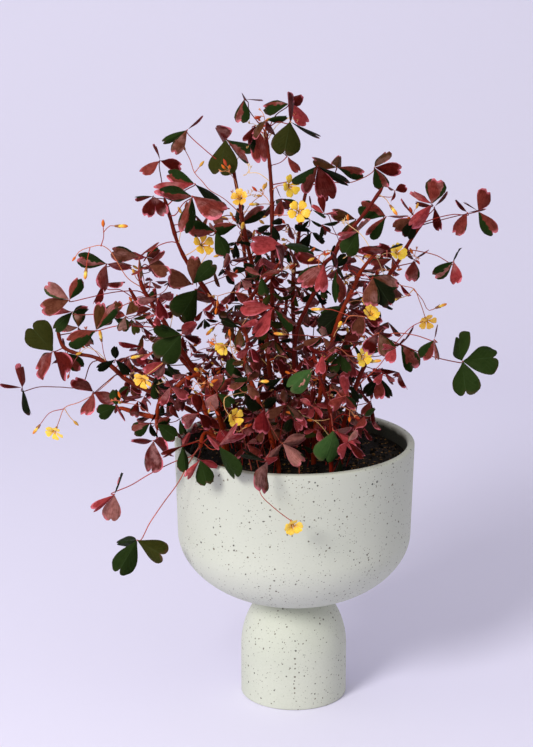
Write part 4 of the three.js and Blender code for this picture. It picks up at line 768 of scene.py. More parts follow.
def grow_solids_plant(thicket):
    """The plant as the solids have it: wood first, then flower stalks and blooms, and then the leaves."""
    items = [wood_of(key, stem, thicket) for key, stem in STEMS.items()]
    blooms = []
    for item in items:
        for kind, face, path in item["stem"].get("stalks", ()):
            add_stalk(item, kind, face, path, blooms, thicket)
    for item in items:
        for row in item["stem"].get("leaves", ()):
            leaf = hand_leaf(row, item, thicket)
            thicket.keep(leaf["balls"], item["name"])
            item["leaves"].append(leaf)
    draws = Draws(FIRST_DRAW)
    for item in items:
        for number in range(item["stem"]["crowd"]):
            leaf = rule_leaf(number, item, thicket, draws)
            if leaf["room"] > 0:
                thicket.keep(leaf["balls"], item["name"])
                item["leaves"].append(leaf)
    return items, blooms


# The small leaves that the solids leave out, and the undergrowth of the crown's middle.
FILL_SEED = 41
FILL_REACH = (7, 23)
FILL_LIFT = (0.0, 0.95)
FILL_LENGTH = (9, 15.5)
FILL_LOOK_OUT = (0.3, 1.1)
FILL_DROOP = (0.1, 0.6)
FILL_TRIES = 12
FILL_LEAFLET_BALL = 0.9
FILL_STALK_BALL = 0.5
CROWN_MIDDLE = (-10, 250)
CROWN_REACH = (138, 152)
CROWN_RAGGEDNESS = 0.35
UNDERGROWTH_SEED = 77
UNDERGROWTH_SPREAD = 52
UNDERGROWTH_TOP = (206, 305)
UNDERGROWTH_USUAL_TOP = 225
UNDERGROWTH_MIDDLE = -4
UNDERGROWTH_HALF_WIDTH = 62
UNDERGROWTH_LENGTH = (9, 16)
UNDERGROWTH_LEAN = (0.1, 0.7)
UNDERGROWTH_TURN = 0.9
UNDERGROWTH_DROOP = (0.1, 0.5)


def as_seen(point):
    """Where the onlooker sees a point, as x and height on the upright plane through the planter's axis."""
    onto = EYE + (point - EYE) * (EYE[1] / (EYE[1] - point[1]))
    return onto[0], onto[2]


def small_leaf(start, name, thicket, rng, reach, lift, length, turn, droop):
    outward = np.array((math.cos(turn), math.sin(turn), 0.0))
    leaf, stalk = leaf_on_stalk(start, outward, reach, lift, length, rng.uniform(0, FULL_TURN),
                                rng.uniform(*FILL_LOOK_OUT), droop)
    room = min(thicket.room(leaflet_balls(leaf, FILL_LEAFLET_BALL)),
               thicket.room(balls_along(stalk, FILL_STALK_BALL)[:-BALLS_AT_SPRING], name))
    return {**leaf, "stalk": stalk}, room


def keep_small_leaf(leaf, name, thicket):
    thicket.keep(leaflet_balls(leaf, FILL_LEAFLET_BALL), name)
    thicket.keep(balls_along(leaf["stalk"], FILL_STALK_BALL), name)


def add_fill_leaves(items, thicket, count):
    """Small leaves all along the stems, kept within the crown's outline as seen."""
    rng = random.Random(FILL_SEED)
    reachable = [(item, np.array(ball[:3])) for item in items for ball in item["wood"]
                 if ball[2] > SOIL_HEIGHT + SPRING_CLEAR]
    for _ in range(count):
        for _ in range(FILL_TRIES):
            item, start = rng.choice(reachable)
            leaf, room = small_leaf(start, item["name"], thicket, rng, rng.uniform(*FILL_REACH),
                                    rng.uniform(*FILL_LIFT), rng.uniform(*FILL_LENGTH),
                                    rng.uniform(0, FULL_TURN), rng.uniform(*FILL_DROOP))
            x, height = as_seen(leaf["hub"])
            off = math.hypot((x - CROWN_MIDDLE[0]) / CROWN_REACH[0],
                             (height - CROWN_MIDDLE[1]) / CROWN_REACH[1])
            if room > 0 and off + rng.uniform(0, CROWN_RAGGEDNESS) < 1:
                keep_small_leaf(leaf, item["name"], thicket)
                item["leaves"].append(leaf)
                break


def grow_undergrowth(thicket, count):
    """Thin leaf stalks that rise from the soil between the stems, each with its small leaf."""
    rng = random.Random(UNDERGROWTH_SEED)
    leaves = []
    for _ in range(count):
        for _ in range(FILL_TRIES):
            turn = rng.uniform(0, FULL_TURN)
            out = UNDERGROWTH_SPREAD * math.sqrt(rng.random())
            start = np.array((out * math.cos(turn), out * math.sin(turn), SOIL_HEIGHT - SOIL_RELIEF))
            height = rng.triangular(*UNDERGROWTH_TOP, UNDERGROWTH_USUAL_TOP) - SOIL_HEIGHT
            lean = rng.uniform(*UNDERGROWTH_LEAN)
            leaf, room = small_leaf(start, "undergrowth", thicket, rng, height / math.cos(lean),
                                    math.pi / 2 - lean, rng.uniform(*UNDERGROWTH_LENGTH),
                                    turn + rng.uniform(-UNDERGROWTH_TURN, UNDERGROWTH_TURN),
                                    rng.uniform(*UNDERGROWTH_DROOP))
            x, seen_height = as_seen(leaf["hub"])
            inside = abs(x - UNDERGROWTH_MIDDLE) < UNDERGROWTH_HALF_WIDTH
            if room > 0 and inside and seen_height < UNDERGROWTH_TOP[1]:
                keep_small_leaf(leaf, "undergrowth", thicket)
                leaves.append(leaf)
                break
    return leaves


@lru_cache(maxsize=None)
def whole_plant(fill_count, undergrowth_count):
    thicket = Thicket()
    items, blooms = grow_solids_plant(thicket)
    undergrowth = grow_undergrowth(thicket, undergrowth_count)
    add_fill_leaves(items, thicket, fill_count)
    return items, blooms, undergrowth


def grown(scene):
    return whole_plant(scene.oxalis_leaves.fill_leaves, scene.oxalis_leaves.undergrowth)


def srgb(red, green, blue):
    """A colour as a screen shows it, brought to the scene's linear light."""
    shares = [value / 255 for value in (red, green, blue)]
    return tuple(v / 12.92 if v <= 0.04045 else ((v + 0.055) / 1.055) ** 2.4 for v in shares)


# What the letters of a leaf's tones stand for: the colour of its plum part, the colour of its green part,
# the share of the leaflet that is plum, how far the plum keeps to one half of it, and which half that is:
# 1 for the left one as it points, -1 for the right one, and 0 where either will do.
TONES = {
    "g": (srgb(70, 32, 26), srgb(31, 44, 16), 0.05, 0.3, 0),
    "G": (srgb(188, 132, 118), srgb(54, 80, 40), 0.27, 0.6, 1),
    "d": (srgb(34, 13, 10), srgb(17, 21, 9), 0.25, 0.3, 0),
    "y": (srgb(84, 44, 26), srgb(44, 45, 15), 0.05, 0.3, 0),
    "h": (srgb(104, 46, 38), srgb(27, 41, 14), 0.5, 0.9, -1),
    "k": (srgb(104, 46, 38), srgb(25, 39, 13), 0.5, 0.9, 1),
    "p": (srgb(114, 47, 41), srgb(28, 42, 17), 0.88, 0.35, 0),
    "m": (srgb(74, 18, 14), srgb(20, 30, 12), 0.92, 0.25, 0),
    "r": (srgb(148, 56, 59), srgb(36, 54, 24), 0.95, 0.2, 0),
    "c": (srgb(112, 29, 33), srgb(28, 38, 16), 0.97, 0.2, 0),
    "s": (srgb(152, 100, 94), srgb(50, 62, 34), 0.86, 0.4, -1),
    "o": (srgb(74, 46, 24), srgb(30, 38, 13), 0.82, 0.35, 0),
    "b": (srgb(94, 53, 39), srgb(26, 37, 16), 0.84, 0.35, 0),
}
RULE_TONES = "ppmmmmmmccroobbddddgyhk"
UNDERGROWTH_TONES = "pmmmmccrrrssbddg"
LEAF_STALK_TONES = (srgb(118, 30, 27), srgb(144, 44, 38), srgb(88, 20, 18), srgb(158, 78, 68))
FLOWER_STALK_TONES = (srgb(178, 104, 76), srgb(164, 84, 62), srgb(196, 152, 108), srgb(150, 60, 50))
SPRAY_TONES = (srgb(212, 170, 122), srgb(190, 128, 92), srgb(216, 184, 132), srgb(170, 92, 74))
BUD_TONES = (srgb(190, 96, 34), srgb(160, 60, 36), srgb(190, 144, 66))

# The stems' skin is darker and redder than the plain colour in their table.
BARK_WARMTH = np.array((0.57, 0.37, 0.27))


def deselect():
    if bpy.context.mode != "OBJECT":
        bpy.ops.object.mode_set(mode="OBJECT")
    bpy.ops.object.select_all(action="DESELECT")


def select_only(*pieces):
    deselect()
    for piece in pieces:
        piece.select_set(True)
    bpy.context.view_layer.objects.active = pieces[0]


def join(pieces):
    select_only(*pieces)
    if len(pieces) > 1:
        bpy.ops.object.join()
    return bpy.context.view_layer.objects.active


def smooth(piece, angle):
    select_only(piece)
    bpy.ops.object.shade_smooth_by_angle(angle=math.radians(angle))


def settle(piece, name, node=None):
    """Names a finished piece, lets it ride on the plant's one body and hides the solid that it stands for, if
    one is named.
    """
    piece.name = name
    piece.data.name = name
    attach(piece, "root")
    if node:
        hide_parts(node)


def turned(name, profile, steps):
    """A profile of (radius, height) in millimetres, drawn point by point and spun round the upright axis."""
    deselect()
    bpy.ops.mesh.primitive_plane_add(size=MM, location=(0, 0, 0))
    piece = bpy.context.object
    bpy.ops.object.mode_set(mode="EDIT")
    bpy.ops.mesh.merge(type="CENTER")
    radius, height = 0.0, 0.0
    for next_radius, next_height in profile:
        step = ((next_radius - radius) * MM, 0, (next_height - height) * MM)
        if (radius, height) == (0.0, 0.0) and profile[0] == (next_radius, next_height):
            bpy.ops.transform.translate(value=step)
        else:
            bpy.ops.mesh.extrude_vertices_move(TRANSFORM_OT_translate={"value": step})
        radius, height = next_radius, next_height
    bpy.ops.mesh.select_all(action="SELECT")
    bpy.ops.mesh.spin(steps=steps, angle=FULL_TURN, center=(0, 0, 0), axis=(0, 0, 1))
    bpy.ops.mesh.select_all(action="SELECT")
    bpy.ops.mesh.remove_doubles(threshold=0.01 * MM)
    bpy.ops.mesh.normals_make_consistent(inside=False)
    bpy.ops.object.mode_set(mode="OBJECT")
    piece.name = name
    return piece


def bowl_curve(radius, bottom, inner, steps):
    """A bowl's curve from its bottom to the turn of its side, as a quarter of a squared ellipse."""
    points = []
    for i in range(steps + 1):
        turn = i / steps * math.pi / 2
        points.append((inner + (radius - inner) * math.sin(turn) ** (2 / BOWL_ROUNDNESS),
                       SIDE_TURN_HEIGHT - (SIDE_TURN_HEIGHT - bottom)
                       * max(0.0, math.cos(turn)) ** (2 / BOWL_ROUNDNESS)))
    return points


def arc(radius, height, size, first, last, steps):
    turns = [math.radians(first + (last - first) * i / steps) for i in range(steps + 1)]
    return [(radius + size * math.cos(turn), height + size * math.sin(turn)) for turn in turns]


def between(start, end, steps):
    return [(start[0] + (end[0] - start[0]) * i / steps, start[1] + (end[1] - start[1]) * i / steps)
            for i in range(1, steps)]


# Radii where the flat underside has a point, how far out of the neck the bowl's own points begin, and the
# rings of the foot's dome and the soil's top.
UNDERSIDE_RINGS = (0, 18, 32)
NECK_CLEAR = 0.8
DOME_RINGS = 18
SOIL_RINGS = 46


def planter_profile():
    foot_top = math.asin(math.sqrt(1 - (NECK_RADIUS / FOOT_RADIUS) ** 2))
    profile = [(radius, 0) for radius in UNDERSIDE_RINGS]
    profile += arc(FOOT_RADIUS - FOOT_EDGE, FOOT_EDGE, FOOT_EDGE, -90, 0, 6)
    profile += between((FOOT_RADIUS, FOOT_EDGE), (FOOT_RADIUS, FOOT_SHOULDER_HEIGHT), 6)
    for i in range(DOME_RINGS + 1):
        turn = foot_top * i / DOME_RINGS
        profile.append((FOOT_RADIUS * math.cos(turn), FOOT_SHOULDER_HEIGHT + FOOT_DOME_RISE * math.sin(turn)))
    bowl = bowl_curve(SIDE_RADIUS, BOWL_BOTTOM_HEIGHT, BOWL_FLAT_RADIUS, 44)
    profile += [point for point in bowl if point[0] > NECK_RADIUS + NECK_CLEAR]
    profile += between((SIDE_RADIUS, SIDE_TURN_HEIGHT), (RIM_RADIUS, RIM_HEIGHT - RIM_EDGE), 10)
    profile += arc(RIM_RADIUS - RIM_EDGE, RIM_HEIGHT - RIM_EDGE, RIM_EDGE, 0, 90, 5)
    profile += arc(RIM_RADIUS - WALL + RIM_EDGE, RIM_HEIGHT - RIM_EDGE, RIM_EDGE, 90, 180, 5)
    profile += between((RIM_RADIUS - WALL, RIM_HEIGHT - RIM_EDGE), (SIDE_RADIUS - WALL, SIDE_TURN_HEIGHT), 10)
    return profile + bowl_curve(SIDE_RADIUS - WALL, FLOOR_HEIGHT, 0, 28)[::-1]


def soil_edge():
    splay = (RIM_RADIUS - SIDE_RADIUS) / (RIM_HEIGHT - RIM_EDGE - SIDE_TURN_HEIGHT)
    return SIDE_RADIUS - WALL - SEAT_GAP + splay * (SOIL_HEIGHT - SIDE_TURN_HEIGHT)


def soil_profile():
    side, edge = SIDE_RADIUS - WALL - SEAT_GAP, soil_edge()
    profile = bowl_curve(side, FLOOR_HEIGHT + SEAT_GAP, 0, 14)
    profile += between((side, SIDE_TURN_HEIGHT), (edge, SOIL_HEIGHT), 4)
    return profile + [(edge * (1 - i / SOIL_RINGS), SOIL_HEIGHT) for i in range(SOIL_RINGS + 1)]


def soil_top(x, y):
    """The height of the crumbly soil at a place of its surface."""
    out = math.hypot(x, y)
    relief = (0.55 * math.sin(x / SOIL_SWELL) * math.cos(y / SOIL_SWELL)
              + 0.6 * noise.noise(Vector((x / 6, y / 6, 0)))
              + 0.45 * noise.noise(Vector((x / 2.2, y / 2.2, 5))))
    return SOIL_HEIGHT + SOIL_RELIEF * relief * clamp((soil_edge() - out) / 3, 0, 1)


class Shape:
    """A modelled shape, read off as points and faces so that it can be copied many times."""

    def __init__(self, piece):
        mesh = piece.data
        self.points = np.array([vertex.co[:] for vertex in mesh.vertices])
        self.faces = [tuple(face.vertices) for face in mesh.polygons]
        self.parts = [face.material_index for face in mesh.polygons]
        bpy.data.objects.remove(piece)
        bpy.data.meshes.remove(mesh)


class Gathered:
    """Copies of modelled shapes, gathered into one mesh with what the materials read from each."""

    def __init__(self):
        self.points, self.faces, self.parts, self.layers, self.uvs = [], [], [], {}, []
        self.count = 0

    def add(self, shape, points, uvs, part=None, **layers):
        self.points.append(points)
        self.faces += [tuple(corner + self.count for corner in face) for face in shape.faces]
        self.parts += shape.parts if part is None else [part] * len(shape.faces)
        self.uvs.append(uvs)
        for name, colour in layers.items():
            row = np.ones((len(points), 4))
            row[:, :3] = colour
            self.layers.setdefault(name, []).append(row)
        self.count += len(points)

    def piece(self, name, finishes, uv_name):
        mesh = bpy.data.meshes.new(name)
        points = np.concatenate(self.points)
        mesh.from_pydata((points * MM).tolist(), [], self.faces)
        for finish in finishes:
            mesh.materials.append(finish)
        mesh.polygons.foreach_set("material_index", self.parts)
        corners = np.empty(len(mesh.loops), dtype=np.int32)
        mesh.loops.foreach_get("vertex_index", corners)
        mesh.uv_layers.new(name=uv_name).data.foreach_set("uv", np.concatenate(self.uvs)[corners].ravel())
        for layer, rows in self.layers.items():
            colours = mesh.color_attributes.new(layer, "FLOAT_COLOR", "POINT")
            colours.data.foreach_set("color", np.concatenate(rows).ravel())
        mesh.update()
        piece = bpy.data.objects.new(name, mesh)
        bpy.context.scene.collection.objects.link(piece)
        return piece


def blade_blank(columns, rows):
    """A flat blade's two faces: x from -1 to 1 across, y from 0 to 1 along, z 1 above and -1 below.

    Both faces share their outline, so the blade is closed, and its underside is the second finish.
    """
    deselect()
    bpy.ops.mesh.primitive_grid_add(x_subdivisions=columns, y_subdivisions=rows, size=2, location=(0, 0, 0))
    piece = bpy.context.object
    mesh = piece.data
    for _ in range(2):
        mesh.materials.append(None)
    bpy.ops.object.mode_set(mode="EDIT")
    bpy.ops.transform.resize(value=(1, 0.5, 1))
    bpy.ops.transform.translate(value=(0, 0.5, 0))
    bpy.ops.mesh.duplicate()
    bpy.ops.mesh.flip_normals()
    bpy.ops.object.mode_set(mode="OBJECT")
    below = len(mesh.polygons) // 2
    for face in mesh.polygons:
        face.material_index = 0 if face.index < below else 1
    for vertex in mesh.vertices:
        inside = abs(vertex.co.x) < 0.999 and 0.001 < vertex.co.y < 0.999
        vertex.co.z = 0 if not inside else 1 if vertex.index < len(mesh.vertices) // 2 else -1
    bpy.ops.object.mode_set(mode="EDIT")
    bpy.ops.mesh.select_all(action="SELECT")
    bpy.ops.mesh.remove_doubles(threshold=0.001)
    bpy.ops.object.mode_set(mode="OBJECT")
    return Shape(piece)


# A leaflet's half width along its length, and how far each part across it reaches at the notched tip.
HALF_WIDTH_AT = (
    (0, 0.05), (0.08, 0.11), (0.2, 0.215), (0.35, 0.335), (0.5, 0.435), (0.65, 0.49), (0.8, 0.5),
    (0.92, 0.45), (1, 0.36),
)
TIP_REACH_AT = ((0, 0.905), (0.25, 0.965), (0.5, 1.0), (0.75, 0.985), (1, 0.925))
LARGE_TIP_REACH_AT = ((0, 0.86), (0.15, 0.925), (0.32, 0.985), (0.5, 1.0), (0.75, 0.985), (1, 0.915))
LARGE_LENGTH = 21.0
MIDDLING_LENGTH = 18.5
FOLD_SOFTNESS = 0.05
NARROW = 0.87
NARROW_FOLD = 1.6
WIDEST = 1.15
LEAST_WIDTH = 0.14
LEAST_SEEN = 0.45
OPEN_SHARE = 0.74
OPEN_FOLD = 0.3
FLAT_TURN_FOLD = 0.22
RIDGE_TURN = 0.14
RIDGE_CHANCE = 0.6
LEAFLET_NECK = 0.7


def graph(table, values):
    return np.interp(values, [row[0] for row in table], [row[1] for row in table])


def turned_leaflet(hub, leaflet, tenths, ridged):
    """A leaflet turned and folded so that it is seen as wide as given, against its length as seen.

    A wide one is turned a little; a narrow one shows its ridge where it is ridged, or is turned flat.
    """
    way, normal, length, width, _ = leaflet
    sight = unit(hub - EYE)
    face = -(sight - way * float(sight @ way))
    seen_share = math.sqrt(float(face @ face))
    face = unit(face)
    up = cross(way, face)
    if up @ normal < 0:
        up = -up
    wanted = tenths / 10 * length * max(seen_share, LEAST_SEEN)
    width = max(width, min(wanted * 1.02, width * WIDEST))
    share = clamp(wanted / width, LEAST_WIDTH, 0.97)
    if ridged and share <= OPEN_SHARE:
        fold, turn = math.acos(min(1.0, share / math.cos(RIDGE_TURN))), RIDGE_TURN
    else:
        fold = OPEN_FOLD if share > OPEN_SHARE else FLAT_TURN_FOLD
        turn = math.acos(min(1.0, share / math.cos(fold)))
    return way, face * math.cos(turn) + up * math.sin(turn), length, width, fold


def leaflet_points(blank, hub, leaflet, thickness, rng):
    """A leaflet bent from the flat blank: heart-shaped, folded along its middle, curled and rippled."""
    way, normal, length, width, fold = leaflet
    across, along, side = blank.points[:, 0], blank.points[:, 1], blank.points[:, 2]
    along = np.where(along < 1, along ** 0.92, 1.0)
    half = np.abs(across)
    x = across * graph(HALF_WIDTH_AT, along) * width * rng.uniform(0.97, 1.05)
    tip_reach = graph(LARGE_TIP_REACH_AT if length > LARGE_LENGTH else TIP_REACH_AT, half)
    y = length * along * (0.9 + (tip_reach - 0.9) * along ** 2)
    soft = FOLD_SOFTNESS * width
    drop = np.sqrt(x ** 2 + soft ** 2) - soft
    fold = fold * rng.uniform(0.9, 1.1)
    z = -drop * math.sin(fold)
    x = np.sign(x) * drop * math.cos(fold) + x * 0.12 * math.cos(fold)
    z = z + width * rng.uniform(0.02, 0.07) * np.sin(math.pi * half) * along
    z = z - length * rng.uniform(0.0, 0.13) * along ** 2
    z = z + width * rng.uniform(0.0, 0.045) * half ** 2 * np.sin(FULL_TURN * (1.3 * along + rng.random()))
    twist = rng.uniform(-0.22, 0.22) * along
    x, z = x * np.cos(twist) - z * np.sin(twist), x * np.sin(twist) + z * np.cos(twist)
    z = z + side * thickness / 2
    left = cross(normal, way)
    return (hub + np.outer(y + LEAFLET_NECK, way) + np.outer(x, left) + np.outer(z, normal))


def add_leaf_blades(gathered, leaf, blanks, thickness, tones, rng):
    widths = leaf.get("widths")
    for number, leaflet in enumerate(leaf["leaflets"]):
        plum, green, share, lean, half = TONES[tones[number % len(tones)]]
        if widths:
            ridged = half != 0 or rng.random() < RIDGE_CHANCE
            leaflet = turned_leaflet(leaf["hub"], leaflet, widths[number], ridged)
            shade = rng.uniform(0.9, 1.24)
        else:
            way, normal, length, width, fold = leaflet
            narrow = NARROW * rng.uniform(0.92, 1.12)
            leaflet = way, normal, length, width * narrow, fold + (1 - narrow) * NARROW_FOLD
            shade = rng.uniform(0.5, 1.15)
        blank = blanks[0 if leaflet[2] > LARGE_LENGTH else 1 if leaflet[2] >= MIDDLING_LENGTH else 2]
        points = leaflet_points(blank, leaf["hub"], leaflet, thickness, rng)
        uvs = np.stack((blank.points[:, 0] / 2 + 0.5, blank.points[:, 1]), axis=1)
        side = half or rng.choice((-1, 1))
        mark = (clamp(share + rng.uniform(-0.06, 0.06), 0, 1), 0.5 + 0.5 * side * lean, rng.random())
        gathered.add(blank, points, uvs, plum=np.array(plum) * shade, green=np.array(green) * shade,
                     mark=mark)


def smoothed(points, spacing):
    """Points along a smooth curve through the given ones, no further apart than spacing."""
    points = [np.array(point, float) for point in points]
    gaps = [max(1e-6, math.dist(a, b)) for a, b in zip(points, points[1:])]
    slopes = [(b - a) / gap for a, b, gap in zip(points, points[1:], gaps)]
    ways = [slopes[0]]
    for i in range(1, len(points) - 1):
        ways.append((slopes[i - 1] * gaps[i] + slopes[i] * gaps[i - 1]) / (gaps[i - 1] + gaps[i]))
    ways.append(slopes[-1])
    curve = []
    for i, gap in enumerate(gaps):
        count = max(1, math.ceil(gap / spacing))
        for k in range(count):
            u = k / count
            curve.append(points[i] * (1 + 2 * u) * (1 - u) ** 2 + ways[i] * gap * u * (1 - u) ** 2
                         + points[i + 1] * u * u * (3 - 2 * u) - ways[i + 1] * gap * u * u * (1 - u))
    return curve + [points[-1]]


def rods(name, runs, sides, tone):
    """Rods along runs of (points, radii), drawn as curves with round sections and made a mesh."""
    curve = bpy.data.curves.new(name, "CURVE")
    curve.dimensions = "3D"
    curve.bevel_depth = MM
    curve.bevel_resolution = (sides - 4) // 2
    curve.use_fill_caps = True
    for points, radii in runs:
        spline = curve.splines.new("POLY")
        spline.points.add(len(points) - 1)
        rows = np.ones((len(points), 4))
        rows[:, :3] = np.array(points) * MM
        spline.points.foreach_set("co", rows.ravel())
        spline.points.foreach_set("radius", np.array(radii, float))
    piece = bpy.data.objects.new(name, curve)
    bpy.context.scene.collection.objects.link(piece)
    select_only(piece)
    bpy.ops.object.convert(target="MESH")
    piece = bpy.context.object
    colours = piece.data.color_attributes.new("tone", "FLOAT_COLOR", "POINT")
    colours.data.foreach_set("color", np.tile((*tone, 1.0), len(piece.data.vertices)))
    return piece


# The wood: how close its points are, how it narrows and varies, and how it swells where a stalk springs.
WOOD_SPACING = 2.6
WOOD_TAPER = 1.25
WOOD_UNEVENNESS = 0.09
WOOD_WAVE = 7
SWELLING = 0.26
SWELLING_REACH = 3.2
WOOD_END = 0.6
# The thin stalks: how close their points are, and how thick they are at a leaf's hub and just before it.
STALK_SPACING = 3.4
HUB_THICKNESS = 1.35
NEAR_HUB_THICKNESS = 1.25
# A bud's outline, as places along it and the radius at each.
BUD_REACH = (-0.6, 0.2, 1.2, 2.2, 3.2, 4.0, 4.4)
BUD_RADII = (0.35, 0.8, 1.1, 1.05, 0.8, 0.45, 0.15)


def wood_run(run, start_radius, tip_radius, springs, seed):
    """A stem's points and radii: it narrows to its tip, a little uneven, and swells where stalks spring."""
    points = smoothed(run, WOOD_SPACING)
    reached = [0.0]
    for a, b in zip(points, points[1:]):
        reached.append(reached[-1] + math.dist(a, b))
    radii = []
    for point, far in zip(points, reached):
        radius = start_radius + (tip_radius - start_radius) * (far / reached[-1]) ** WOOD_TAPER
        radius *= 1 + WOOD_UNEVENNESS * noise.noise(Vector((far / WOOD_WAVE, seed, 0)))
        near = min((math.dist(point, spring) for spring in springs), default=99)
        radii.append(radius * (1 + SWELLING * clamp(1 - near / SWELLING_REACH, 0, 1)))
    radii[-1] *= WOOD_END
    return points, radii


def stalk_run(route, radius, rng, hub=None):
    """A thin stalk's points and radii, from its stem to its end, with a soft bend of its own."""
    route = list(route) + ([hub] if hub is not None else [])
    points = smoothed(route, STALK_SPACING)
    sway = np.array([rng.uniform(-1, 1) for _ in range(3)])
    bend = clamp(math.dist(route[0], route[-1]) / 40, 0.1, 1.4)
    count = len(points) - 1
    points = [point + sway * bend * math.sin(math.pi * i / count) ** 2 for i, point in enumerate(points)]
    radii = [radius * (1.3 - 0.3 * min(1, i / count * 3)) for i in range(count + 1)]
    if hub is not None:
        radii[-1] = radius * HUB_THICKNESS
        radii[-2] = radius * NEAR_HUB_THICKNESS
    return points, radii


def bud_run(end, heading, rng):
    size = rng.uniform(0.85, 1.15)
    return [end + heading * reach * size for reach in BUD_REACH], [radius * size for radius in BUD_RADII]


# Which leaves have thinner stalks, how thick the wood starts against its solid, and the fine sprays that
# spring from it above the bowl.
SMALL_LEAF = 15
SMALL_LEAF_STALK = 0.8
TRUNK_THICKNESS = 0.96
BRANCH_THICKNESS = 0.78
SPRAYS_ABOVE = 215.0
WOOD_BALLS_PER_SPRAY = 12
SPRAY_LIFT = (-0.1, 1.1)
SPRAY_REACH = (12, 30)
SPRAY_THICKNESS = 0.9
TWIG_THICKNESS = 0.75


def spray_runs(item, radius, rng, groups):
    """Fine flower stalks in sprays, some ending in a small bud and some in an empty cup."""
    upper = [np.array(ball[:3]) for ball in item["wood"] if ball[2] > SPRAYS_ABOVE]
    for _ in range(len(upper) // WOOD_BALLS_PER_SPRAY):
        start = rng.choice(upper)
        turn, lift = rng.uniform(0, FULL_TURN), rng.uniform(*SPRAY_LIFT)
        outward = np.array((math.cos(turn), math.sin(turn), 0.0))
        fork = start + (outward * math.cos(lift) + UP * math.sin(lift)) * rng.uniform(*SPRAY_REACH)
        runs = groups.setdefault(rng.choice(SPRAY_TONES), [])
        rise = UP * 0.12 * math.dist(start, fork)
        runs.append(stalk_run([start, lerp(start, fork, 0.55) + rise, fork], radius, rng))
        for _ in range(rng.randint(2, 4)):
            way = unit(unit(fork - start) + np.array([rng.uniform(-1, 1) for _ in range(3)]))
            end = fork + way * rng.uniform(3, 7.5) - UP * rng.uniform(0, 2)
            runs.append(stalk_run([fork, lerp(fork, end, 0.5) + UP * 0.7, end], radius * TWIG_THICKNESS, rng))
            if rng.random() < 0.5:
                groups.setdefault(rng.choice(BUD_TONES), []).append(bud_run(end, way, rng))
                continue
            for _ in range(4):
                out = unit(way + np.array([rng.uniform(-0.7, 0.7) for _ in range(3)]))
                runs.append(([end, end + out * 1.2, end + out * rng.uniform(2, 3.4)], [0.2, 0.32, 0.1]))


def stem_piece(item, settings, finish):
    """One leafy stem's wood, with its leaf stalks, flower stalks and buds."""
    stem = item["stem"]
    rng = random.Random(item["name"])
    springs = [leaf["stalk"][-1] for leaf in item["leaves"]] + [route[0] for _, route in item["stalks"]]
    colour = stem["colour"]
    bark = np.array(srgb(colour >> 16, colour >> 8 & 255, colour & 255)) * BARK_WARMTH
    wood = []
    for i, run in enumerate(item["runs"]):
        radius = stem["radius"] * (BRANCH_THICKNESS if i else TRUNK_THICKNESS)
        wood.append(wood_run(run, radius, settings.tip_radius, springs, i + rng.random() * 50))
    parts = [rods("wood", wood, 10, bark * settings.bark_lightness)]
    groups = {}
    for leaf in item["leaves"]:
        thin = settings.leaf_stalk_radius * (SMALL_LEAF_STALK if leaf["leaflets"][0][2] < SMALL_LEAF else 1)
        groups.setdefault(rng.choice(LEAF_STALK_TONES), []).append(
            stalk_run(leaf["stalk"][::-1], thin, rng, leaf["hub"]))
    for kind, route in item["stalks"]:
        groups.setdefault(rng.choice(FLOWER_STALK_TONES), []).append(
            stalk_run(route, settings.flower_stalk_radius, rng))
        if kind == "bud":
            groups.setdefault(rng.choice(BUD_TONES), []).append(
                bud_run(route[-1], unit(route[-1] - route[-2]), rng))
    spray_runs(item, settings.flower_stalk_radius * SPRAY_THICKNESS, rng, groups)
    parts += [rods("stalks", runs, 6, tone) for tone, runs in groups.items()]
    piece = join(parts)
    piece.data.materials.append(finish)
    smooth(piece, 60)
    return piece


# A bloom's finishes, in their order.
PETAL_PART, FURLED_PART, CUP_PART = range(3)
PETALS = 5
# An open bloom that looks further away from the onlooker than FACES_AWAY is turned by TURNED_BACK.
FACES_AWAY = 0.5
TURNED_BACK = 0.8
PETAL_WIDTH_AT = ((0, 0.16), (0.3, 0.2), (0.45, 0.34), (0.65, 0.78), (0.85, 1.0), (1, 0.78))
PETAL_OUT_AT = ((0, 0.9), (0.25, 1.2), (0.42, 1.7), (0.55, 3.0), (0.75, 5.4), (1, 8.3))
PETAL_UP_AT = ((0, 0.0), (0.25, 2.6), (0.42, 4.5), (0.55, 5.4), (0.75, 6.2), (1, 6.6))
PETAL_TIP_AT = ((0, 0.965), (0.4, 1.0), (0.7, 0.985), (1, 0.93))


def petal_points(blank, turn, spread, size, rng):
    """One of an open bloom's five petals, from its claw in the throat out to its ruffled edge."""
    across, along, side = blank.points[:, 0], blank.points[:, 1], blank.points[:, 2]
    half = np.abs(across)
    reach = along * (1 - (1 - graph(PETAL_TIP_AT, half)) * along ** 3)
    out = graph(PETAL_OUT_AT, reach) * (1 + (spread - 1) * along)
    up = graph(PETAL_UP_AT, reach) * (1 + 0.9 * (1 - spread) * along)
    x = across * graph(PETAL_WIDTH_AT, along) * 3.3
    up = up + 0.35 * across * along + 0.6 * half ** 2 * along ** 2 * np.sin(9 * along + 5 * across + 3 * turn)
    up = up - 0.5 * rng.uniform(0.3, 1.5) * along ** 4
    out_slope = np.clip((0.45 - along) / 0.2, 0, 1)
    thick = side * 0.11
    out, up = out - thick * out_slope, up + thick * (1 - out_slope)
    angle = turn + rng.uniform(-0.06, 0.06)
    # in the throat the claw lies round the axis, and further out it lies flat
    bend = x / np.maximum(out, 0.9) * out_slope
    ex, ey = math.cos(angle), math.sin(angle)
    flat_x = out * ex - x * ey
    flat_y = out * ey + x * ex
    round_x = out * np.cos(angle + bend)
    round_y = out * np.sin(angle + bend)
    return size * np.stack((flat_x * (1 - out_slope) + round_x * out_slope,
                            flat_y * (1 - out_slope) + round_y * out_slope, up), axis=1)


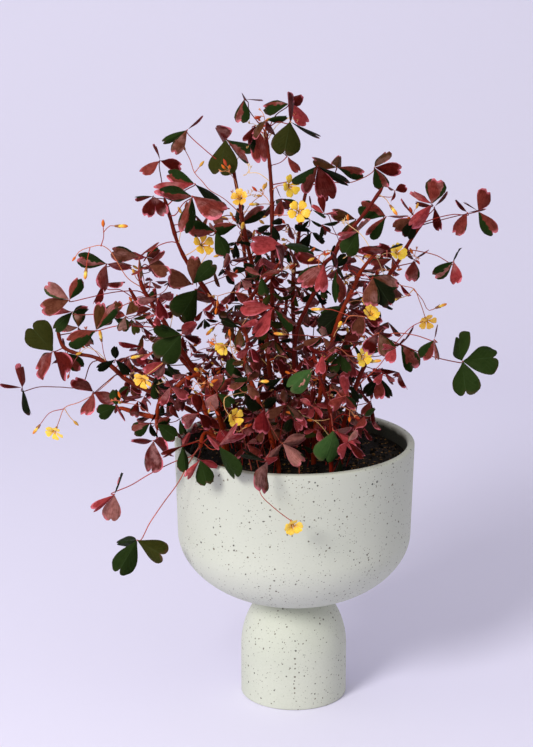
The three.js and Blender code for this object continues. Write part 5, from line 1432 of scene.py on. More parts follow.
def sepal_points(blank, turn, length, flare):
    across, along, side = blank.points[:, 0], blank.points[:, 1], blank.points[:, 2]
    out = 0.75 + flare * along ** 1.5 - 0.35 * np.abs(across) + side * 0.1
    x = across * np.interp(along, (0, 0.35, 1), (0.55, 0.75, 0.08))
    up = -0.9 + length * along
    round_x = out * math.cos(turn) - x * math.sin(turn)
    round_y = out * math.sin(turn) + x * math.cos(turn)
    return np.stack((round_x, round_y, up), axis=1)


def spindle_shape(segments, rings):
    deselect()
    bpy.ops.mesh.primitive_uv_sphere_add(segments=segments, ring_count=rings, radius=1, location=(0, 0, 0))
    return Shape(bpy.context.object)


SHUT_RADIUS_AT = ((0, 0.45), (0.12, 0.75), (0.35, 0.95), (0.6, 1.25), (0.8, 1.1), (0.95, 0.55), (1, 0.05))


def shut_points(shape, length, girth):
    """A furled bloom: five petals wound round each other to a point."""
    along = (shape.points[:, 2] + 1) / 2
    turn = np.arctan2(shape.points[:, 1], shape.points[:, 0])
    ridge = 1 + 0.13 * np.abs(np.sin(2.5 * (turn - 2.2 * along)))
    radius = graph(SHUT_RADIUS_AT, along) * girth * ridge
    radius = np.where((along < 1e-6) | (along > 1 - 1e-6), 0, radius)
    return np.stack((radius * np.cos(turn), radius * np.sin(turn), length * along), axis=1)


def frame_of(facing):
    side = unit(cross(facing, UP))
    return np.stack((side, cross(facing, side), facing), axis=1)


def bloom_piece(bloom, shapes, finishes):
    """An open or shut bloom at its cup, with its own mesh."""
    petal, sepal, spindle, dot = shapes
    rng = random.Random(bloom["name"])
    gathered = Gathered()
    facing, onlooker = bloom["facing"], unit(EYE - bloom["base"])
    if bloom["kind"] == "open" and facing @ onlooker < FACES_AWAY:
        facing = unit(facing + onlooker * TURNED_BACK)
    axes = frame_of(facing)
    spin = rng.uniform(0, FULL_TURN)
    ripe = rng.random()

    def place(shape, points, part, tone):
        along = shape.points[:, 2 if part == FURLED_PART else 1]
        uvs = np.stack((shape.points[:, 0] / 2 + 0.5, along), axis=1)
        gathered.add(shape, bloom["base"] + points @ axes.T, uvs, part, tone=tone)

    if bloom["kind"] == "open":
        size = rng.uniform(0.88, 1.04)
        spread = rng.uniform(0.74, 1.05)
        for k in range(PETALS):
            turn = spin + FULL_TURN * k / PETALS
            points = petal_points(petal, turn, spread * rng.uniform(0.88, 1.0), size, rng)
            place(petal, points, PETAL_PART, (ripe, 0, 0))
        for k in range(PETALS):
            turn = spin + FULL_TURN * (k + 0.5) / PETALS
            points = dot.points * (0.34, 0.34, 0.5) + (0.75 * math.cos(turn), 0.75 * math.sin(turn), 4.7)
            place(dot, points, CUP_PART, srgb(226, 178, 40))
    else:
        points = shut_points(spindle, rng.uniform(8.2, 9.2), rng.uniform(0.85, 1.05))
        place(spindle, points, FURLED_PART, (ripe, 0, 0))
    for k in range(PETALS):
        turn = spin + FULL_TURN * (k + 0.5) / PETALS
        points = sepal_points(sepal, turn, rng.uniform(3.2, 4.2), rng.uniform(0.5, 0.9))
        place(sepal, points, CUP_PART, srgb(132, 84, 46))
    piece = gathered.piece(bloom["name"], finishes, "petal")
    smooth(piece, 70)
    return piece


class Finish:
    """A procedural material, with its nodes added one by one around its shader."""

    def __init__(self, name, roughness, **sockets):
        self.material = bpy.data.materials.new(name)
        self.material.use_nodes = True
        self.tree = self.material.node_tree
        self.shader = self.tree.nodes["Principled BSDF"]
        self.shader.inputs["Roughness"].default_value = roughness
        for socket, value in sockets.items():
            self.shader.inputs[socket.replace("_", " ").title().replace("Ior", "IOR")].default_value = value

    def feed(self, socket, value):
        if isinstance(value, bpy.types.NodeSocket):
            self.tree.links.new(value, socket)
        elif socket.type == "RGBA" and len(value) == 3:
            socket.default_value = (*value, 1.0)
        else:
            socket.default_value = value

    def node(self, kind, inputs, **settings):
        node = self.tree.nodes.new("ShaderNode" + kind)
        for setting, value in settings.items():
            setattr(node, setting, value)
        for socket, value in inputs.items():
            self.feed(node.inputs[socket], value)
        return node

    def place(self):
        return self.node("TexCoord", {}).outputs["Object"]

    def uv(self, name):
        split = self.node("SeparateXYZ", {"Vector": self.node("UVMap", {}, uv_map=name).outputs["UV"]})
        return split.outputs["X"], split.outputs["Y"]

    def layer(self, name):
        return self.node("Attribute", {}, attribute_name=name).outputs["Color"]

    def parts(self, colour):
        split = self.node("SeparateColor", {"Color": colour})
        return split.outputs["Red"], split.outputs["Green"], split.outputs["Blue"]

    def noise(self, vector, scale, detail=2.0, roughness=0.5):
        return self.node("TexNoise", {"Vector": vector, "Scale": scale, "Detail": detail,
                                      "Roughness": roughness}).outputs["Fac"]

    def spots(self, vector, scale):
        node = self.node("TexVoronoi", {"Vector": vector, "Scale": scale})
        return node.outputs["Distance"], node.outputs["Color"]

    def sum(self, *terms):
        total = terms[0]
        for term in terms[1:]:
            total = self.node("Math", {0: total, 1: term}, operation="ADD").outputs[0]
        return total

    def product(self, *factors):
        total = factors[0]
        for factor in factors[1:]:
            total = self.node("Math", {0: total, 1: factor}, operation="MULTIPLY").outputs[0]
        return total

    def reckon(self, operation, first, second=0.5):
        return self.node("Math", {0: first, 1: second}, operation=operation).outputs[0]

    def between(self, value, low, high, to_low=0.0, to_high=1.0):
        """A smooth step of value, from to_low where it is at low to to_high where it is at high."""
        return self.node("MapRange", {"Value": value, "From Min": low, "From Max": high, "To Min": to_low,
                                      "To Max": to_high}, interpolation_type="SMOOTHSTEP").outputs["Result"]

    def mix(self, share, first, second, blend="MIX"):
        node = self.node("Mix", {0: share, 6: first, 7: second}, data_type="RGBA", blend_type=blend)
        return node.outputs[2]

    def tinted(self, colour, tint):
        return self.mix(1.0, colour, tint, "MULTIPLY")

    def swing(self, value, size):
        """A value from 0 to 1, made to swing about 0."""
        return self.product(self.sum(value, -0.5), size)

    def stripes(self, value, count, low, high):
        """Lines that come count times as the value goes from 0 to 1."""
        saw = self.reckon("FRACT", self.product(value, count))
        return self.between(self.reckon("ABSOLUTE", self.sum(saw, -0.5)), low, high)

    def colour(self, value):
        self.feed(self.shader.inputs["Base Color"], value)

    def relief(self, height, distance, strength=1.0):
        bump = self.node("Bump", {"Height": height, "Distance": distance, "Strength": strength})
        self.feed(self.shader.inputs["Normal"], bump.outputs["Normal"])

    def rough(self, value):
        self.feed(self.shader.inputs["Roughness"], value)


# The planter's speckles, from the finest to the largest: how close, how many and how large against that.
SPECKLES = ((620.0, 0.6, 0.17), (330.0, 0.6, 0.17), (200.0, 0.55, 0.13), (105.0, 0.5, 0.085))


def planter_finish(settings):
    """Matt cast stoneware: pale sage grey, faintly clouded, with dark speckles of several sizes."""
    finish = Finish("speckled_casting", 0.7, specular_ior_level=0.35)
    place = finish.place()
    wobble = finish.node("TexNoise", {"Vector": place, "Scale": 700.0, "Detail": 2.0}).outputs["Color"]
    ragged = finish.mix(0.0009, place, wobble, "ADD")
    cloud = finish.noise(place, 16.0, 3.0)
    grain = finish.noise(place, 900.0, 2.0)
    body = finish.mix(finish.between(cloud, 0.3, 0.7), settings.shade_colour, settings.body_colour)
    body = finish.mix(finish.between(grain, 0.35, 0.7, 0.0, 0.16), body, settings.grain_colour)
    axes = finish.node("SeparateXYZ", {"Vector": place}).outputs
    height = axes["Z"]
    # Painted shade: the bowl is darkened more and more from its lower part up to the rim, for the shade of
    # the plant's crown above it.
    body = finish.mix(finish.between(height, 0.07, 0.2, 0.0, 0.75), body, settings.painted_crown_shade_colour)
    out = finish.reckon("POWER", finish.sum(finish.reckon("POWER", axes["X"], 2.0),
                                            finish.reckon("POWER", axes["Y"], 2.0)), 0.5)
    # Soil stain and painted shade: the inner wall, from just below the rim down to the soil, is darkened
    # almost to black, partly a stain from the soil and partly the shade inside the bowl.
    inside = finish.between(out, (RIM_RADIUS - WALL + 0.9) * MM, (RIM_RADIUS - WALL + 0.3) * MM)
    level = finish.sum(height, finish.swing(finish.noise(place, 60.0, 3.0), 0.004))
    stain_and_shade_mask = finish.product(inside, finish.between(level, (RIM_HEIGHT - 1.2) * MM, (RIM_HEIGHT - 4.5) * MM),
                          finish.between(height, (SOIL_HEIGHT - 12) * MM, (SOIL_HEIGHT - 8) * MM))
    pits = None
    crowd = finish.between(finish.noise(place, 38.0, 2.0), 0.3, 0.7, 0.35, 1.3)
    for scale, share, size in SPECKLES:
        distance, cell = finish.spots(ragged, scale)
        chance, spread, depth = finish.parts(cell)
        shown = finish.reckon("LESS_THAN", chance, finish.product(crowd, share * settings.speckle_amount))
        radius = finish.product(finish.sum(spread, 0.45), size)
        spot = finish.reckon("SUBTRACT", radius, distance)
        spot = finish.product(finish.between(spot, 0.0, 0.03), shown)
        dark = finish.mix(depth, settings.speckle_colour, settings.brown_speckle_colour)
        body = finish.mix(finish.product(spot, 0.88), body, dark)
        pits = spot if pits is None else finish.reckon("MAXIMUM", pits, spot)
    # The colour of the inner wall's soil stain and painted shade, with greenish bits.
    stain_and_shade_tone = finish.mix(finish.between(grain, 0.4, 0.65), settings.dark_stain_and_shade_colour, settings.green_stain_and_shade_colour)
    finish.colour(finish.mix(finish.product(stain_and_shade_mask, 0.93), body, stain_and_shade_tone))
    finish.rough(finish.between(cloud, 0.2, 0.8, 0.62, 0.76))
    relief = finish.sum(finish.product(grain, 0.3), finish.product(cloud, 0.5), finish.product(pits, -0.4))
    finish.relief(relief, 0.00025, 0.35)
    return finish.material


def soil_finish(settings):
    """Dark damp potting soil with a few golden bits of bark and fibre."""
    finish = Finish("potting_soil", 0.95, specular_ior_level=0.2)
    place = finish.place()
    clod = finish.noise(place, 220.0, 4.0, 0.6)
    fine = finish.noise(place, 900.0, 3.0, 0.6)
    colour = finish.mix(finish.between(clod, 0.35, 0.65), settings.dark_colour, settings.soil_colour)
    _, cell = finish.spots(place, 620.0)
    chance, tint, _ = finish.parts(cell)
    bit = finish.product(finish.reckon("GREATER_THAN", chance, 0.93), 0.8)
    colour = finish.mix(bit, colour, finish.mix(tint, settings.soil_colour, settings.bit_colour))
    colour = finish.tinted(colour, finish.layer("tone"))
    finish.colour(colour)
    finish.relief(finish.sum(clod, finish.product(fine, 0.6)), 0.0009, 0.8)
    return finish.material


def bark_finish():
    """The skin of stems and stalks: streaked red-brown, redder on the young parts, with a soft gloss."""
    finish = Finish("stem_skin", 0.5, specular_ior_level=0.08)
    place = finish.place()
    stretched = finish.node("Mapping", {"Vector": place, "Scale": (1.0, 1.0, 0.22)}).outputs["Vector"]
    streak = finish.noise(stretched, 1400.0, 3.0, 0.6)
    patch = finish.noise(place, 55.0, 2.0)
    tone = finish.layer("tone")
    dark = finish.tinted(tone, (0.5, 0.4, 0.42))
    # Warmer orange laid in random patches: partly the skin's own tone and partly a painted orange highlight.
    # The pale pores take the same colour.
    warm_tone_and_highlight = finish.tinted(tone, (1.35, 1.25, 0.95))
    colour = finish.mix(finish.between(patch, 0.35, 0.68), tone, warm_tone_and_highlight)
    colour = finish.mix(finish.between(streak, 0.5, 0.75, 0.0, 0.7), colour, dark)
    flecks, cell = finish.spots(place, 800.0)
    pore = finish.product(finish.between(flecks, 0.2, 0.08),
                          finish.reckon("GREATER_THAN", finish.parts(cell)[0], 0.85))
    finish.colour(finish.mix(finish.product(pore, 0.35), colour, warm_tone_and_highlight))
    finish.rough(finish.between(streak, 0.3, 0.7, 0.36, 0.55))
    finish.relief(streak, 0.0002, 0.5)
    return finish.material


def blade_marks(finish):
    """The shares of a leaf's plum part, veins, painted rim highlight and painted pink highlight near the tip,
    from the blade's own map and marks.
    """
    place = finish.place()
    u, v = finish.uv("blade")
    across = finish.reckon("MULTIPLY_ADD", u, 2.0)
    across.node.inputs[2].default_value = -1.0
    half = finish.reckon("ABSOLUTE", across)
    share, lean, seed = finish.parts(finish.layer("mark"))
    blotch = finish.noise(place, 150.0, 3.0, 0.6)
    side = finish.swing(lean, across)
    border = finish.swing(blotch, 0.95)
    margin = finish.product(finish.between(half, 0.45, 1.0), finish.between(seed, 0.2, 0.8), -0.62)
    reach = finish.sum(share, side, border, finish.product(margin, finish.between(share, 0.99, 0.8)))
    plum = finish.between(reach, 0.47, 0.53)
    wiggle = finish.swing(finish.noise(place, 420.0), 0.12)
    patchy = finish.noise(place, 120.0, 2.0)
    rays = finish.stripes(finish.sum(half, wiggle), 4.0, 0.34, 0.5)
    rays = finish.product(rays, finish.between(v, 0.1, 0.4), finish.between(patchy, 0.3, 0.6, 0.35, 1.0))
    ribs = finish.stripes(finish.sum(v, finish.product(half, -0.42), wiggle), 7.0, 0.36, 0.5)
    ribs = finish.product(ribs, finish.between(patchy, 0.35, 0.65, 0.1, 1.0))
    midrib = finish.between(half, 0.085, 0.02)
    # Painted highlight: a band along the leaflet's edge, which the finishes turn pink.
    edge = finish.reckon("MAXIMUM", half, v)
    rim = finish.product(finish.between(edge, 0.86, 0.97), finish.between(patchy, 0.4, 0.58))
    chance = finish.reckon("FRACT", finish.product(seed, 7.3))
    aside = finish.product(across, finish.between(chance, 0.78, 0.8, -1.0, 1.0))
    # Painted highlight: pink near the tip, on one side of some leaflets, ragged by noise.
    tip_highlight = finish.sum(finish.product(v, 0.7), finish.product(aside, 0.45), finish.swing(blotch, 0.7))
    tip_highlight = finish.product(finish.between(tip_highlight, 0.86, 1.0), finish.between(chance, 0.45, 0.6))
    return place, plum, rays, ribs, midrib, rim, tip_highlight, seed


def leaf_top_finish(settings):
    """A leaf's upper side: plum and green parts with a ragged border, fine veins, a painted sheen in broad
    pale patches, and painted pink highlights near its tips and along its rims.
    """
    finish = Finish("leaf_upper", 0.55, specular_ior_level=0.012)
    place, plum, rays, ribs, midrib, rim, tip_highlight, seed = blade_marks(finish)
    mottle = finish.noise(place, 330.0, 4.0, 0.65)
    broad = finish.noise(place, 90.0, 1.0)
    red = finish.layer("plum")
    dark_red = finish.tinted(red, (0.5, 0.38, 0.34))
    # Painted sheen: broad pale mauve patches on some leaflets stand in for the soft sheen of their upper
    # sides.
    sheen_red = finish.mix(0.36, red, settings.painted_sheen_colour)
    painted_sheen = finish.product(finish.between(broad, 0.4, 0.65), finish.between(seed, 0.35, 0.85))
    red = finish.mix(painted_sheen, red, sheen_red)
    red = finish.mix(finish.between(mottle, 0.4, 0.68, 0.0, 0.7), red, dark_red)
    red = finish.mix(finish.product(rays, 0.6), red, dark_red)
    green = finish.layer("green")
    deep_green = finish.tinted(green, (0.6, 0.66, 0.62))
    pale_green = finish.mix(0.35, green, settings.vein_colour)
    green = finish.mix(finish.between(mottle, 0.42, 0.7, 0.0, 0.5), green, deep_green)
    green = finish.mix(finish.product(ribs, 0.07), green, pale_green)
    green = finish.mix(finish.product(midrib, 0.09), green, pale_green)
    colour = finish.mix(plum, green, red)
    # Painted highlight: pink near the tip, broken by the rays, and pink along the rim of the plum parts.
    tip_highlight_share = finish.product(tip_highlight, plum, finish.sum(0.95, finish.product(rays, -0.9)))
    colour = finish.mix(tip_highlight_share, colour, settings.pink_vein_and_highlight_colour)
    rim_highlight_share = finish.product(rim, finish.sum(finish.product(plum, 0.6), finish.product(seed, 0.08)))
    finish.colour(finish.mix(rim_highlight_share, colour, settings.pink_vein_and_highlight_colour))
    finish.rough(finish.between(mottle, 0.3, 0.7, 0.42, 0.6))
    height = finish.sum(finish.product(ribs, -0.5), finish.product(rays, -0.35), finish.product(midrib, -1.0),
                        finish.product(mottle, 0.4))
    finish.relief(height, 0.0003, 0.6)
    return finish.material


def leaf_under_finish(settings):
    """A leaf's underside: a dusty, paler rose or grey-green with raised veins."""
    finish = Finish("leaf_under", 0.65, specular_ior_level=0.01)
    place, plum, rays, ribs, midrib, rim, tip_highlight, _ = blade_marks(finish)
    mottle = finish.noise(place, 380.0, 4.0, 0.6)
    red = finish.mix(0.5, finish.layer("plum"), settings.under_colour)
    green = finish.mix(0.45, finish.layer("green"), settings.under_colour)
    colour = finish.mix(plum, green, red)
    colour = finish.mix(finish.between(mottle, 0.4, 0.7, 0.0, 0.4), colour,
                        finish.tinted(colour, (0.6, 0.5, 0.52)))
    veins = finish.reckon("MAXIMUM", finish.product(rays, 0.25), finish.product(midrib, 0.5))
    veins = finish.reckon("MAXIMUM", veins, finish.product(ribs, 0.1))
    colour = finish.mix(veins, colour, settings.pink_vein_and_highlight_colour)
    # Painted highlight: pink near the tip and along the rim of the underside.
    colour = finish.mix(finish.product(tip_highlight, 0.6), colour, settings.pink_vein_and_highlight_colour)
    finish.colour(finish.mix(finish.product(rim, 0.4), colour, settings.pink_vein_and_highlight_colour))
    finish.relief(finish.sum(ribs, midrib, finish.product(mottle, 0.4)), 0.0003, 0.6)
    return finish.material


def petal_finish(settings):
    """A petal: clear yellow with darker lines that run up from an orange throat."""
    finish = Finish("petal", 0.45, sheen_weight=0.15, sheen_roughness=0.4)
    place = finish.place()
    u, v = finish.uv("petal")
    ripe, _, _ = finish.parts(finish.layer("tone"))
    lines = finish.product(finish.stripes(u, 7.0, 0.3, 0.5), finish.between(v, 0.85, 0.45))
    silk = finish.noise(place, 900.0, 2.0)
    petal = finish.mix(ripe, settings.petal_colour, settings.deep_petal_colour)
    petal = finish.mix(finish.between(silk, 0.4, 0.7, 0.0, 0.35), petal, settings.pale_petal_colour)
    petal = finish.mix(finish.between(v, 0.6, 0.3, 0.0, 0.75), petal, settings.throat_colour)
    finish.colour(finish.mix(finish.product(lines, 0.6), petal, settings.throat_colour))
    finish.relief(finish.sum(lines, silk), 0.0002, 0.4)
    return finish.material


def shut_petal_finish(settings):
    """A furled or faded bloom: pale yellow that turns orange towards its tip, with fine ridges."""
    finish = Finish("furled_petal", 0.5, sheen_weight=0.15, sheen_roughness=0.4)
    place = finish.place()
    u, v = finish.uv("petal")
    ripe, _, _ = finish.parts(finish.layer("tone"))
    silk = finish.noise(place, 700.0, 3.0)
    base = finish.mix(ripe, settings.pale_petal_colour, settings.petal_colour)
    tip = finish.mix(finish.between(ripe, 0.3, 0.8), settings.deep_petal_colour, settings.throat_colour)
    colour = finish.mix(finish.between(finish.sum(v, finish.product(silk, 0.4)), -0.2, 0.9), base, tip)
    finish.colour(finish.mix(finish.between(silk, 0.5, 0.75, 0.0, 0.5), colour, settings.throat_colour))
    finish.relief(silk, 0.0003, 0.5)
    return finish.material


def sepal_finish(settings):
    """Small parts of a bloom, the cup and the anthers, in their own colour with fine streaks."""
    finish = Finish("bloom_cup", 0.55, sheen_weight=0.1, sheen_roughness=0.4)
    place = finish.place()
    streak = finish.noise(place, 1500.0, 3.0)
    tone = finish.layer("tone")
    finish.colour(finish.mix(finish.between(streak, 0.4, 0.7, 0.0, 0.6), tone,
                             finish.mix(0.6, tone, settings.throat_colour)))
    finish.relief(streak, 0.0002, 0.4)
    return finish.material


def stage_finish(settings):
    """Plain seamless paper behind and under the pot."""
    finish = Finish("paper", 0.9, specular_ior_level=0.1)
    place = finish.place()
    tooth = finish.noise(place, 500.0, 3.0)
    finish.colour(finish.mix(finish.between(tooth, 0.3, 0.7, 0.0, 0.04), settings.paper_colour,
                             settings.paper_shade_colour))
    finish.relief(tooth, 0.0001, 0.1)
    return finish.material


def colour_setting(name, description, red, green, blue):
    return FloatVectorProperty(name=name, description=description, default=srgb(red, green, blue),
                               subtype="COLOR", size=3, min=0, max=1)


def size_setting(name, description, size, least, most):
    return FloatProperty(name=name, description=description + ", in millimetres", default=size, min=least,
                         max=most)


def count_setting(name, description, count, most):
    return IntProperty(name=name, description=description, default=count, min=0, max=most)


class PlanterSettings(bpy.types.PropertyGroup):
    body_colour: colour_setting("Body", "Pale colour of the casting", 200, 203, 190)
    shade_colour: colour_setting("Clouding", "Darker tint of the casting's soft clouding", 193, 197, 183)
    # Painted shade: the tint that darkens the bowl towards its rim, for the shade of the plant's crown above
    # it.
    painted_crown_shade_colour: colour_setting("Towards the rim", "Duller tint of the bowl's upper part", 184, 187, 176)
    # Soil stain and painted shade on the bowl's inner wall above the soil, and its greenish bits.
    dark_stain_and_shade_colour: colour_setting("Damp wall", "Dark stain on the wall above the soil", 14, 12, 8)
    green_stain_and_shade_colour: colour_setting("Moss", "Greenish bits of the stain", 40, 44, 24)
    grain_colour: colour_setting("Grain", "Colour of the casting's fine grain", 168, 173, 156)
    speckle_colour: colour_setting("Speckles", "Colour of the dark speckles", 52, 52, 50)
    brown_speckle_colour: colour_setting("Brown speckles", "Colour of the lighter speckles", 104, 92, 76)
    speckle_amount: FloatProperty(
        name="Speckle amount", description="How many speckles show, against the usual number",
        default=1.0, min=0, max=3, subtype="FACTOR")
    steps: IntProperty(
        name="Steps", description="Number of steps in the turn of the planter", default=128, min=32, max=256)


class SoilSettings(bpy.types.PropertyGroup):
    soil_colour: colour_setting("Soil", "Colour of the soil's lighter crumbs", 25, 18, 10)
    dark_colour: colour_setting("Damp soil", "Colour of the soil's damp hollows", 8, 6, 3)
    bit_colour: colour_setting("Bits", "Colour of the bark and fibre bits", 150, 108, 52)
    crumbs: count_setting("Crumbs", "Number of loose crumbs", 900, 3000)
    largest_crumb: FloatProperty(
        name="Largest crumb", description="Radius of the largest crumbs", default=1.7 * MM, min=0.2 * MM,
        max=5 * MM, unit="LENGTH", precision=4)


class StemSettings(bpy.types.PropertyGroup):
    bark_lightness: FloatProperty(
        name="Bark lightness", description="Lightness of the bark, against its usual colour",
        default=1.0, min=0, max=3, subtype="FACTOR")
    tip_radius: size_setting("Tip radius", "Radius of a stem at its tip", 1.2, 0.3, 3)
    leaf_stalk_radius: size_setting("Leaf stalk radius", "Radius of a leaf's stalk", 0.38, 0.1, 2)
    flower_stalk_radius: size_setting("Flower stalk radius", "Radius of a flower's stalk", 0.3, 0.1, 2)


class LeafSettings(bpy.types.PropertyGroup):
    # Pink of the undersides' veins, and of the painted highlights at the leaves' tips and rims.
    pink_vein_and_highlight_colour: colour_setting("Rim", "Pink of the leaves' rims and of their palest parts", 220, 116, 132)
    # Painted sheen: the pale mauve laid in broad patches on some upper sides.
    painted_sheen_colour: colour_setting("Bloom", "Dusty mauve of the palest upper sides", 186, 138, 136)
    vein_colour: colour_setting("Veins", "Pale colour of the green leaves' veins", 120, 150, 104)
    under_colour: colour_setting("Underside", "Dusty colour of the leaves' undersides", 128, 70, 66)
    thickness: size_setting("Thickness", "Thickness of a leaflet", 0.36, 0.05, 2)
    fill_leaves: count_setting("Small leaves", "Number of small leaves added along the stems", 300, 900)
    undergrowth: count_setting("Undergrowth", "Number of leaves that rise from the soil", 70, 300)


class BloomSettings(bpy.types.PropertyGroup):
    petal_colour: colour_setting("Petals", "Yellow of the fresh petals", 246, 208, 48)
    deep_petal_colour: colour_setting("Deep petals", "Yellow of the ripe petals", 240, 178, 30)
    pale_petal_colour: colour_setting("Pale petals", "Palest yellow of the petals", 248, 228, 128)
    throat_colour: colour_setting("Throat", "Orange of the throat and its lines", 214, 118, 28)


class StageSettings(bpy.types.PropertyGroup):
    paper_colour: colour_setting("Paper", "Colour of the paper", 230, 227, 248)
    paper_shade_colour: colour_setting("Paper tooth", "Colour of the paper's tooth", 222, 219, 241)
    key_power: FloatProperty(
        name="Key light", description="Power of the key light", default=56.0, min=0, unit="POWER")
    side_power: FloatProperty(
        name="Side light", description="Power of the broad light from the left", default=3.0, min=0,
        unit="POWER")
    fill_strength: FloatProperty(
        name="Fill", description="Strength of the light from all around", default=0.6, min=0, max=5)


CRUMB_SEED = 3
THIN_STALK_SEED = 5


class OXALIS_OT_planter(bpy.types.Operator):
    """Turns the footed bowl from its profile and gives it its speckled finish"""
    bl_idname = "oxalis.planter"
    bl_label = "Planter"

    def execute(self, context):
        settings = context.scene.oxalis_planter
        piece = turned("planter_casting", planter_profile(), settings.steps)
        piece.data.materials.append(planter_finish(settings))
        smooth(piece, 34)
        settle(piece, "planter_casting", "planter")
        return {"FINISHED"}


class OXALIS_OT_soil(bpy.types.Operator):
    """Fills the bowl with crumbly soil and strews loose crumbs on it"""
    bl_idname = "oxalis.soil"
    bl_label = "Soil"

    def execute(self, context):
        settings = context.scene.oxalis_soil
        bed = turned("soil_bed", soil_profile(), 96)
        for vertex in bed.data.vertices:
            x, y, z = (value / MM for value in vertex.co)
            if z > SOIL_HEIGHT - 0.01:
                vertex.co.z = soil_top(x, y) * MM
        tones = bed.data.color_attributes.new("tone", "FLOAT_COLOR", "POINT")
        tones.data.foreach_set("color", np.ones(4 * len(bed.data.vertices)))
        deselect()
        bpy.ops.mesh.primitive_ico_sphere_add(subdivisions=1, radius=1, location=(0, 0, 0))
        crumb = Shape(bpy.context.object)
        rng = random.Random(CRUMB_SEED)
        gathered = Gathered()
        reach = soil_edge() - 3
        for _ in range(settings.crumbs):
            turn, out = rng.uniform(0, FULL_TURN), reach * math.sqrt(rng.random())
            x, y = out * math.cos(turn), out * math.sin(turn)
            size = settings.largest_crumb / MM * rng.uniform(0.3, 1) ** 1.6
            squash = np.array([rng.uniform(0.6, 1.2) for _ in range(3)]) * size
            spin = rng.uniform(0, FULL_TURN)
            points = crumb.points * [rng.uniform(0.75, 1.2) for _ in range(3)]
            points = points + np.array([[noise.noise(Vector(p * 2) + Vector((x, y, 0)))] * 3
                                        for p in points]) * 0.3 * crumb.points
            along, aside = math.cos(spin), math.sin(spin)
            points = points @ np.array(((along, aside, 0), (-aside, along, 0), (0, 0, 1))) * squash
            gold = rng.random() > 0.93
            tone = np.array((14.0, 11.0, 7.0)) if gold else np.array((1, 1, 1)) * rng.uniform(0.5, 1.9)
            gathered.add(crumb, points + (x, y, soil_top(x, y) + size * 0.25), crumb.points[:, :2], tone=tone)
        finish = soil_finish(settings)
        crumbs = gathered.piece("crumbs", [finish], "crumb")
        bed.data.materials.append(finish)
        bed = join([bed, crumbs])
        smooth(bed, 50)
        settle(bed, "soil_bed", "soil")
        return {"FINISHED"}


class OXALIS_OT_stems(bpy.types.Operator):
    """Draws every leafy stem with its leaf stalks, flower stalks and buds"""
    bl_idname = "oxalis.stems"
    bl_label = "Stems"

    def execute(self, context):
        settings = context.scene.oxalis_stems
        finish = bark_finish()
        items, _, undergrowth = grown(context.scene)
        for item in items:
            settle(stem_piece(item, settings, finish), item["name"] + "_wood", item["name"])
        rng = random.Random(THIN_STALK_SEED)
        groups = {}
        for leaf in undergrowth:
            groups.setdefault(rng.choice(LEAF_STALK_TONES), []).append(
                stalk_run(leaf["stalk"][::-1], settings.leaf_stalk_radius, rng, leaf["hub"]))
        piece = join([rods("undergrowth", runs, 6, tone) for tone, runs in groups.items()])
        piece.data.materials.append(finish)
        smooth(piece, 60)
        settle(piece, "undergrowth_stalks")
        return {"FINISHED"}


class OXALIS_OT_leaves(bpy.types.Operator):
    """Bends every leaflet from one of three flat blanks and lays plum, green and pink on it"""
    bl_idname = "oxalis.leaves"
    bl_label = "Leaves"

    def execute(self, context):
        settings = context.scene.oxalis_leaves
        finishes = [leaf_top_finish(settings), leaf_under_finish(settings)]
        blanks = blade_blank(10, 10), blade_blank(6, 6), blade_blank(4, 5)
        items, _, undergrowth = grown(context.scene)
        sets = [(item["name"] + "_leaves", item["name"], item["leaves"], RULE_TONES) for item in items]
        sets.append(("undergrowth_leaves", None, undergrowth, UNDERGROWTH_TONES))
        for name, node, leaves, tones in sets:
            rng = random.Random(name)
            gathered = Gathered()
            for leaf in leaves:
                letter = rng.choice(tones)
                add_leaf_blades(gathered, leaf, blanks, settings.thickness, leaf.get("tones") or letter, rng)
            piece = gathered.piece(name, finishes, "blade")
            smooth(piece, 150)
            settle(piece, name, node)
        return {"FINISHED"}


class OXALIS_OT_blooms(bpy.types.Operator):
    """Shapes the open and the furled blooms and sets each on its own stalk"""
    bl_idname = "oxalis.blooms"
    bl_label = "Blooms"

    def execute(self, context):
        settings = context.scene.oxalis_blooms
        finishes = [petal_finish(settings), shut_petal_finish(settings), sepal_finish(settings)]
        shapes = blade_blank(6, 9), blade_blank(2, 4), spindle_shape(20, 14), spindle_shape(6, 4)
        for bloom in grown(context.scene)[1]:
            piece = bloom_piece(bloom, shapes, finishes)
            settle(piece, bloom["name"] + "_petals", bloom["name"])
        return {"FINISHED"}


def select_where(mesh, test):
    """Selects the corners of a mesh whose places pass the test, and the edges between them."""
    for face in mesh.polygons:
        face.select = False
    for edge in mesh.edges:
        edge.select = all(test(mesh.vertices[corner].co) for corner in edge.vertices)
    for vertex in mesh.vertices:
        vertex.select = test(vertex.co)


# The seamless paper in metres: its floor, its rise behind the plant and the bend between them.
PAPER_SIZE = (9, 5, 1)
PAPER_SHIFT = (0, -0.4, 0)
PAPER_BACK = 2
PAPER_RISE = (0, 0, 4)
PAPER_BEND = 1.2
# The camera, which stands where the onlooker does: how far it looks down, in degrees, and its lens.
LOOKS_DOWN = 14.47
LENS_LENGTH = 59.116
FILM_HEIGHT = 24.0


